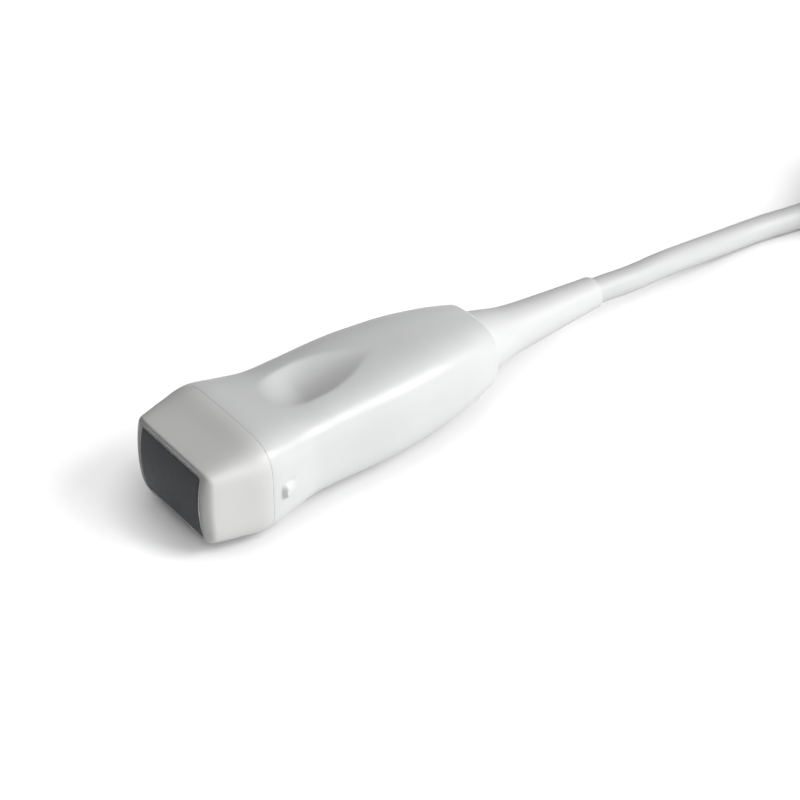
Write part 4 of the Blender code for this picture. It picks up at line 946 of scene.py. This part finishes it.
class PROBE_OT_ties(bpy.types.Operator):
    """Close a strap round each run of the hank"""
    bl_idname = "probe.ties"
    bl_label = "Hank ties"

    def execute(self, context):
        stuff = hook_and_loop("tie_loops", colours().tie)
        for name, side in (("left", -1), ("right", 1)):
            node = f"tie_{name}"
            low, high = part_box(node)
            piece(f"strap_{name}", self.strap(low, high, side), stuff, "tie", node, sharp=50)
        return {"FINISHED"}

    def strap(self, low, high, side):
        """A band with rounded edges round one bundle, its loose end lapped on the inner side."""
        middle = (low + high) / 2

        def loop(inset, along):
            """The band's outline round the bundle, with rounded corners."""
            spots = []
            corner = STRAP_CORNER - inset
            across = (high.x - low.x) / 2 - STRAP_CORNER
            up = (high.z - low.z) / 2 - STRAP_CORNER
            for first, sx, sz in ((0, 1, 1), (90, -1, 1), (180, -1, -1), (270, 1, -1)):
                for degrees in range(0, 91, 15):
                    turn = math.radians(first + degrees)
                    x = middle.x + sx * across + corner * math.cos(turn)
                    z = middle.z + sz * up + corner * math.sin(turn)
                    spots.append(Vector((x, along, z)))
            return spots

        thick, edge, bend = STRAP_THICKNESS, STRAP_EDGE, STRAP_EDGE * 0.3
        band = [
            (thick, low.y), (edge, low.y), (bend, low.y + bend), (0.0, low.y + edge),
            (0.0, high.y - edge), (bend, high.y - bend), (edge, high.y), (thick, high.y),
        ]
        bm = lofted([loop(inset, along) for inset, along in band], endless=True)
        inner = low.x if side > 0 else high.x
        near, far = sorted((inner, inner - side * thick))
        flap = box(
            (near, low.y + 0.0002, middle.z - 0.0062), (far, high.y - 0.0002, middle.z + 0.0060),
            0.0003, 2,
        )
        mesh = bpy.data.meshes.new("flap")
        flap.to_mesh(mesh)
        flap.free()
        bm.from_mesh(mesh)
        bpy.data.meshes.remove(mesh)
        return bm


class PROBE_OT_connector(bpy.types.Operator):
    """Build the plug-in connector that lies on the hank"""
    bl_idname = "probe.connector"
    bl_label = "Connector"

    def execute(self, context):
        stuff = moulded("connector_moulding", colours().connector, 0.44, 2000.0)
        for half, node in (("lower", "connector_base"), ("upper", "connector_cover")):
            piece(f"housing_{half}", self.housing(node), stuff, "handle", node, sharp=35)
        low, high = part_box("connector_relief")
        middle = ((low.x + high.x) / 2, 0.0, (low.z + high.z) / 2)
        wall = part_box("connector_base")[0].y
        tip, root = low.y, wall - 0.0003
        edge = 0.0006
        profile = [
            (0.0, wall + 0.002), (0.0046, wall + 0.002), (0.0046, root), (RELIEF_BASE - edge, root),
        ]
        for lack, gone in rounding(4, 1, 4):
            profile.append((RELIEF_BASE - edge * lack, root - edge * gone))
        length = root - edge - tip
        for share in np.linspace(0, 1, 40)[1:-1]:
            rib = 0.5 - 0.5 * math.cos(math.tau * share * RELIEF_RIBS)
            groove = RELIEF_RIB_DEPTH * rib * ease(share / 0.1) * ease((1 - share) / 0.1)
            radius = RELIEF_BASE - RELIEF_TAPER * ease(share) - groove
            profile.append((radius, root - edge - length * share))
        profile += [(0.0039, tip + 0.0004), (0.0037, tip + 0.0001), (0.0034, tip), (0.0, tip)]
        bm = spun(profile, middle, (0, 1, 0), sizes().facets)
        relief = rubbery("relief_rubber", colours().boot, 0.5)
        piece("connector_boot", bm, relief, "boot", "connector_relief", sharp=50)
        return {"FINISHED"}

    def housing(self, node):
        """One half of the housing: a rounded block cut flat where the halves meet."""
        low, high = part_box(node)
        upper = node == "connector_cover"
        reach = high.z - low.z
        deep = Vector((low.x, low.y, low.z - (reach if upper else 0)))
        tall = Vector((high.x, high.y, high.z + (0 if upper else reach)))
        bm = box(deep, tall, HOUSING_ROUNDING, 6)
        level = low.z if upper else high.z
        cut = bmesh.ops.bisect_plane(
            bm, geom=bm.verts[:] + bm.edges[:] + bm.faces[:], dist=1e-7,
            plane_co=(0, 0, level), plane_no=(0, 0, -1 if upper else 1), clear_outer=True,
        )
        rim = [item for item in cut["geom_cut"] if isinstance(item, bmesh.types.BMEdge)]
        bmesh.ops.holes_fill(bm, edges=rim, sides=0)
        return bm


class PROBE_OT_inner_parts(bpy.types.Operator):
    """Give the parts inside the probe and the connector their finishes"""
    bl_idname = "probe.inner_parts"
    bl_label = "Inner parts"

    def execute(self, context):
        epoxy = rubbery("filled_epoxy", (0.035, 0.038, 0.042), 0.6, 0.25)
        layer = rubbery("matching_resin", (0.16, 0.15, 0.14), 0.55, 0.15)
        aluminium = metal("machined_aluminium", (0.72, 0.73, 0.74), 0.34, (1.0, 6.0, 1.0))
        tinned = metal("tinned_sheet", (0.62, 0.62, 0.60), 0.30, (4.0, 1.0, 1.0), 500.0)
        steel = metal("screw_steel", (0.58, 0.58, 0.60), 0.26)
        mask = circuit("solder_mask", (0.012, 0.10, 0.045))
        finishes = {
            "matching_layer_outer": layer, "matching_layer_inner": layer, "backing_block": epoxy,
            "piezo_array": self.ceramic(), "flex_circuit": self.flex(), "chassis": aluminium,
            "cable_clamp": aluminium, "board_upper": mask, "board_lower": mask,
            "connector_board": mask, "shield_upper": tinned, "shield_lower": tinned,
            "connector_shroud": tinned,
            "coax_fan_upper": self.coax(), "coax_fan_lower": self.coax(),
            "cable_anchored": rubbery("anchored_jacket", colours().cable),
            "contact_block": self.contacts(),
        }
        finishes.update((name, steel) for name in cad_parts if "screw" in name)
        for name, stuff in finishes.items():
            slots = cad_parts[name].material_slots
            if not slots:
                raise RuntimeError(f"{name} has no material slot")
            slots[0].material = stuff
        return {"FINISHED"}

    def ceramic(self):
        made = Finish("diced_ceramic")
        grain = made.noise(4000.0, 2.0)
        made.colour(made.blend(grain, (0.42, 0.35, 0.26), (0.56, 0.48, 0.37)))
        made.rough(made.between(made.noise(800.0, 2.0), 0.50, 0.66))
        made.raise_by((grain, 0.000008))
        return made.stuff

    def flex(self):
        made = Finish("polyimide_flex")
        traces = made.waves(1100.0, "X")
        made.colour(made.blend(traces, (0.42, 0.17, 0.03), (0.72, 0.38, 0.13), 0.55, 0.70))
        made.rough(made.between(made.noise(400.0, 2.0), 0.28, 0.42))
        made.raise_by((traces, 0.00001))
        return made.stuff

    def coax(self):
        made = Finish("coax_bundle")
        strands = made.waves(900.0, "X", 0.6)
        made.colour(made.blend(strands, (0.36, 0.37, 0.39), (0.70, 0.71, 0.73), 0.2, 0.8))
        made.rough(made.between(made.noise(700.0, 2.0), 0.42, 0.55))
        made.raise_by((strands, 0.00008))
        return made.stuff

    def contacts(self):
        made = Finish("contact_insulator")
        made.colour(made.blend(made.noise(200.0, 3.0), (0.018, 0.018, 0.02), (0.04, 0.04, 0.044)))
        made.rough(made.between(made.noise(900.0, 2.0), 0.42, 0.55))
        made.raise_by((made.noise(2200.0, 2.0), 0.000008))
        return made.stuff


class PROBE_OT_declare_cord(bpy.types.Operator):
    bl_idname = "probe.declare_cord"
    bl_label = "Cord facts"

    def execute(self, context):
        pieces = ("housing_lower", "housing_upper", "connector_boot", "strap_left", "strap_right")
        nodes = (
            "connector_shroud", "contact_block", "connector_board", "connector_screw_1",
            "connector_screw_2", "connector_screw_3", "connector_screw_4",
        )
        on_it = [bpy.data.objects[name] for name in pieces]
        on_it += [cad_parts[name] for name in nodes]
        return {"FINISHED"}


class PROBE_OT_stage(bpy.types.Operator):
    """Lay the floor and set the soft studio light"""
    bl_idname = "probe.stage"
    bl_label = "Stage"

    def execute(self, context):
        scene = context.scene
        scene.view_settings.view_transform = "Standard"
        bm = bmesh.new()
        bmesh.ops.create_grid(bm, x_segments=1, y_segments=1, size=FLOOR_SIZE)
        mesh = bpy.data.meshes.new("floor")
        bm.to_mesh(mesh)
        bm.free()
        floor = bpy.data.objects.new("floor", mesh)
        floor.location.z = FLOOR_LEVEL
        mesh.materials.append(self.paper())
        scene.collection.objects.link(floor)
        self.surround(scene)
        for name, turn, lift, power in LAMPS:
            self.softbox(name, turn, lift, power)
        return {"FINISHED"}

    def paper(self):
        """White floor that stays white to the camera and keeps the object's shadow."""
        made = bpy.data.materials.new("floor_paper")
        made.use_nodes = True
        tree = made.node_tree
        tree.nodes.clear()
        plain = tree.nodes.new("ShaderNodeBsdfDiffuse")
        plain.inputs["Color"].default_value = (*colours().floor, 1.0)
        near = tree.nodes.new("ShaderNodeAmbientOcclusion")
        near.samples = 16
        near.inputs["Distance"].default_value = SHADOW_REACH
        deeper = self.calculated(tree, "POWER", near.outputs["AO"], SHADOW_DEPTH)
        level = self.calculated(tree, "MULTIPLY", deeper, FLOOR_GLOW)
        glow = tree.nodes.new("ShaderNodeEmission")
        tree.links.new(level, glow.inputs["Strength"])
        total = tree.nodes.new("ShaderNodeAddShader")
        tree.links.new(plain.outputs[0], total.inputs[0])
        tree.links.new(glow.outputs[0], total.inputs[1])
        bounce = tree.nodes.new("ShaderNodeBsdfDiffuse")
        bounce.inputs["Color"].default_value = (FLOOR_BOUNCE, FLOOR_BOUNCE, FLOOR_BOUNCE, 1.0)
        self.show(tree, total, bounce, "ShaderNodeOutputMaterial")
        return made

    def surround(self, scene):
        """A world that is white to look at and adds little light."""
        world = bpy.data.worlds.new("surround")
        world.use_nodes = True
        scene.world = world
        tree = world.node_tree
        tree.nodes.clear()
        levels = []
        for strength in (1.0, SURROUND_STRENGTH):
            level = tree.nodes.new("ShaderNodeBackground")
            level.inputs["Color"].default_value = (1.0, 1.0, 1.0, 1.0)
            level.inputs["Strength"].default_value = strength
            levels.append(level)
        self.show(tree, *levels, "ShaderNodeOutputWorld")

    def show(self, tree, looked_at, otherwise, output):
        """Sends one shader to camera, glossy and transmission rays and the other to the rest."""
        path = tree.nodes.new("ShaderNodeLightPath")
        seen = path.outputs["Is Camera Ray"]
        for name in ("Is Glossy Ray", "Is Transmission Ray"):
            seen = self.calculated(tree, "MAXIMUM", seen, path.outputs[name])
        pick = tree.nodes.new("ShaderNodeMixShader")
        out = tree.nodes.new(output)
        tree.links.new(seen, pick.inputs[0])
        tree.links.new(otherwise.outputs[0], pick.inputs[1])
        tree.links.new(looked_at.outputs[0], pick.inputs[2])
        tree.links.new(pick.outputs[0], out.inputs["Surface"])

    def calculated(self, tree, operation, first, second):
        """A math node on a socket and a number or another socket."""
        node = tree.nodes.new("ShaderNodeMath")
        node.operation = operation
        tree.links.new(first, node.inputs[0])
        if isinstance(second, float):
            node.inputs[1].default_value = second
        else:
            tree.links.new(second, node.inputs[1])
        return node.outputs[0]

    def softbox(self, name, turn, lift, power):
        """A square panel of light aimed at the probe."""
        turn, lift = math.radians(turn), math.radians(lift)
        level = math.cos(lift)
        towards = Vector((math.cos(turn) * level, math.sin(turn) * level, math.sin(lift)))
        data = bpy.data.lights.new(name, "AREA")
        data.shape = "SQUARE"
        data.size = LAMP_SIZE
        data.energy = power
        lamp = bpy.data.objects.new(name, data)
        lamp.location = Vector(LAMP_AIM) + towards * LAMP_DISTANCE
        lamp.rotation_mode = "QUATERNION"
        lamp.rotation_quaternion = towards.to_track_quat("Z", "Y")
        bpy.context.scene.collection.objects.link(lamp)


STEPS = (
    PROBE_OT_camera, PROBE_OT_cable, PROBE_OT_handle, PROBE_OT_nose, PROBE_OT_lens,
    PROBE_OT_strain_relief, PROBE_OT_ties, PROBE_OT_connector, PROBE_OT_inner_parts,
    PROBE_OT_declare_cord, PROBE_OT_stage,
)


class PROBE_PT_panel(bpy.types.Panel):
    """Lists the probe's pieces in the sidebar"""
    bl_idname = "PROBE_PT_panel"
    bl_label = "Ultrasound probe"
    bl_space_type = "VIEW_3D"
    bl_region_type = "UI"
    bl_category = "Probe"

    def draw(self, context):
        for group in (context.scene.probe_sizes, context.scene.probe_colours):
            for name in group.__annotations__:
                self.layout.prop(group, name)
        for step in STEPS:
            self.layout.operator(step.bl_idname)


def register():
    for made in (ProbeSizes, ProbeColours, *STEPS, PROBE_PT_panel):
        bpy.utils.register_class(made)
    bpy.types.Scene.probe_sizes = bpy.props.PointerProperty(type=ProbeSizes)
    bpy.types.Scene.probe_colours = bpy.props.PointerProperty(type=ProbeColours)


def unregister():
    del bpy.types.Scene.probe_colours
    del bpy.types.Scene.probe_sizes
    for made in reversed((ProbeSizes, ProbeColours, *STEPS, PROBE_PT_panel)):
        bpy.utils.unregister_class(made)


def main():
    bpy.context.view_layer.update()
    register()
    for step in STEPS:
        group, name = step.bl_idname.split(".")
        getattr(getattr(bpy.ops, group), name)()


if __name__ == "__main__":
    main()
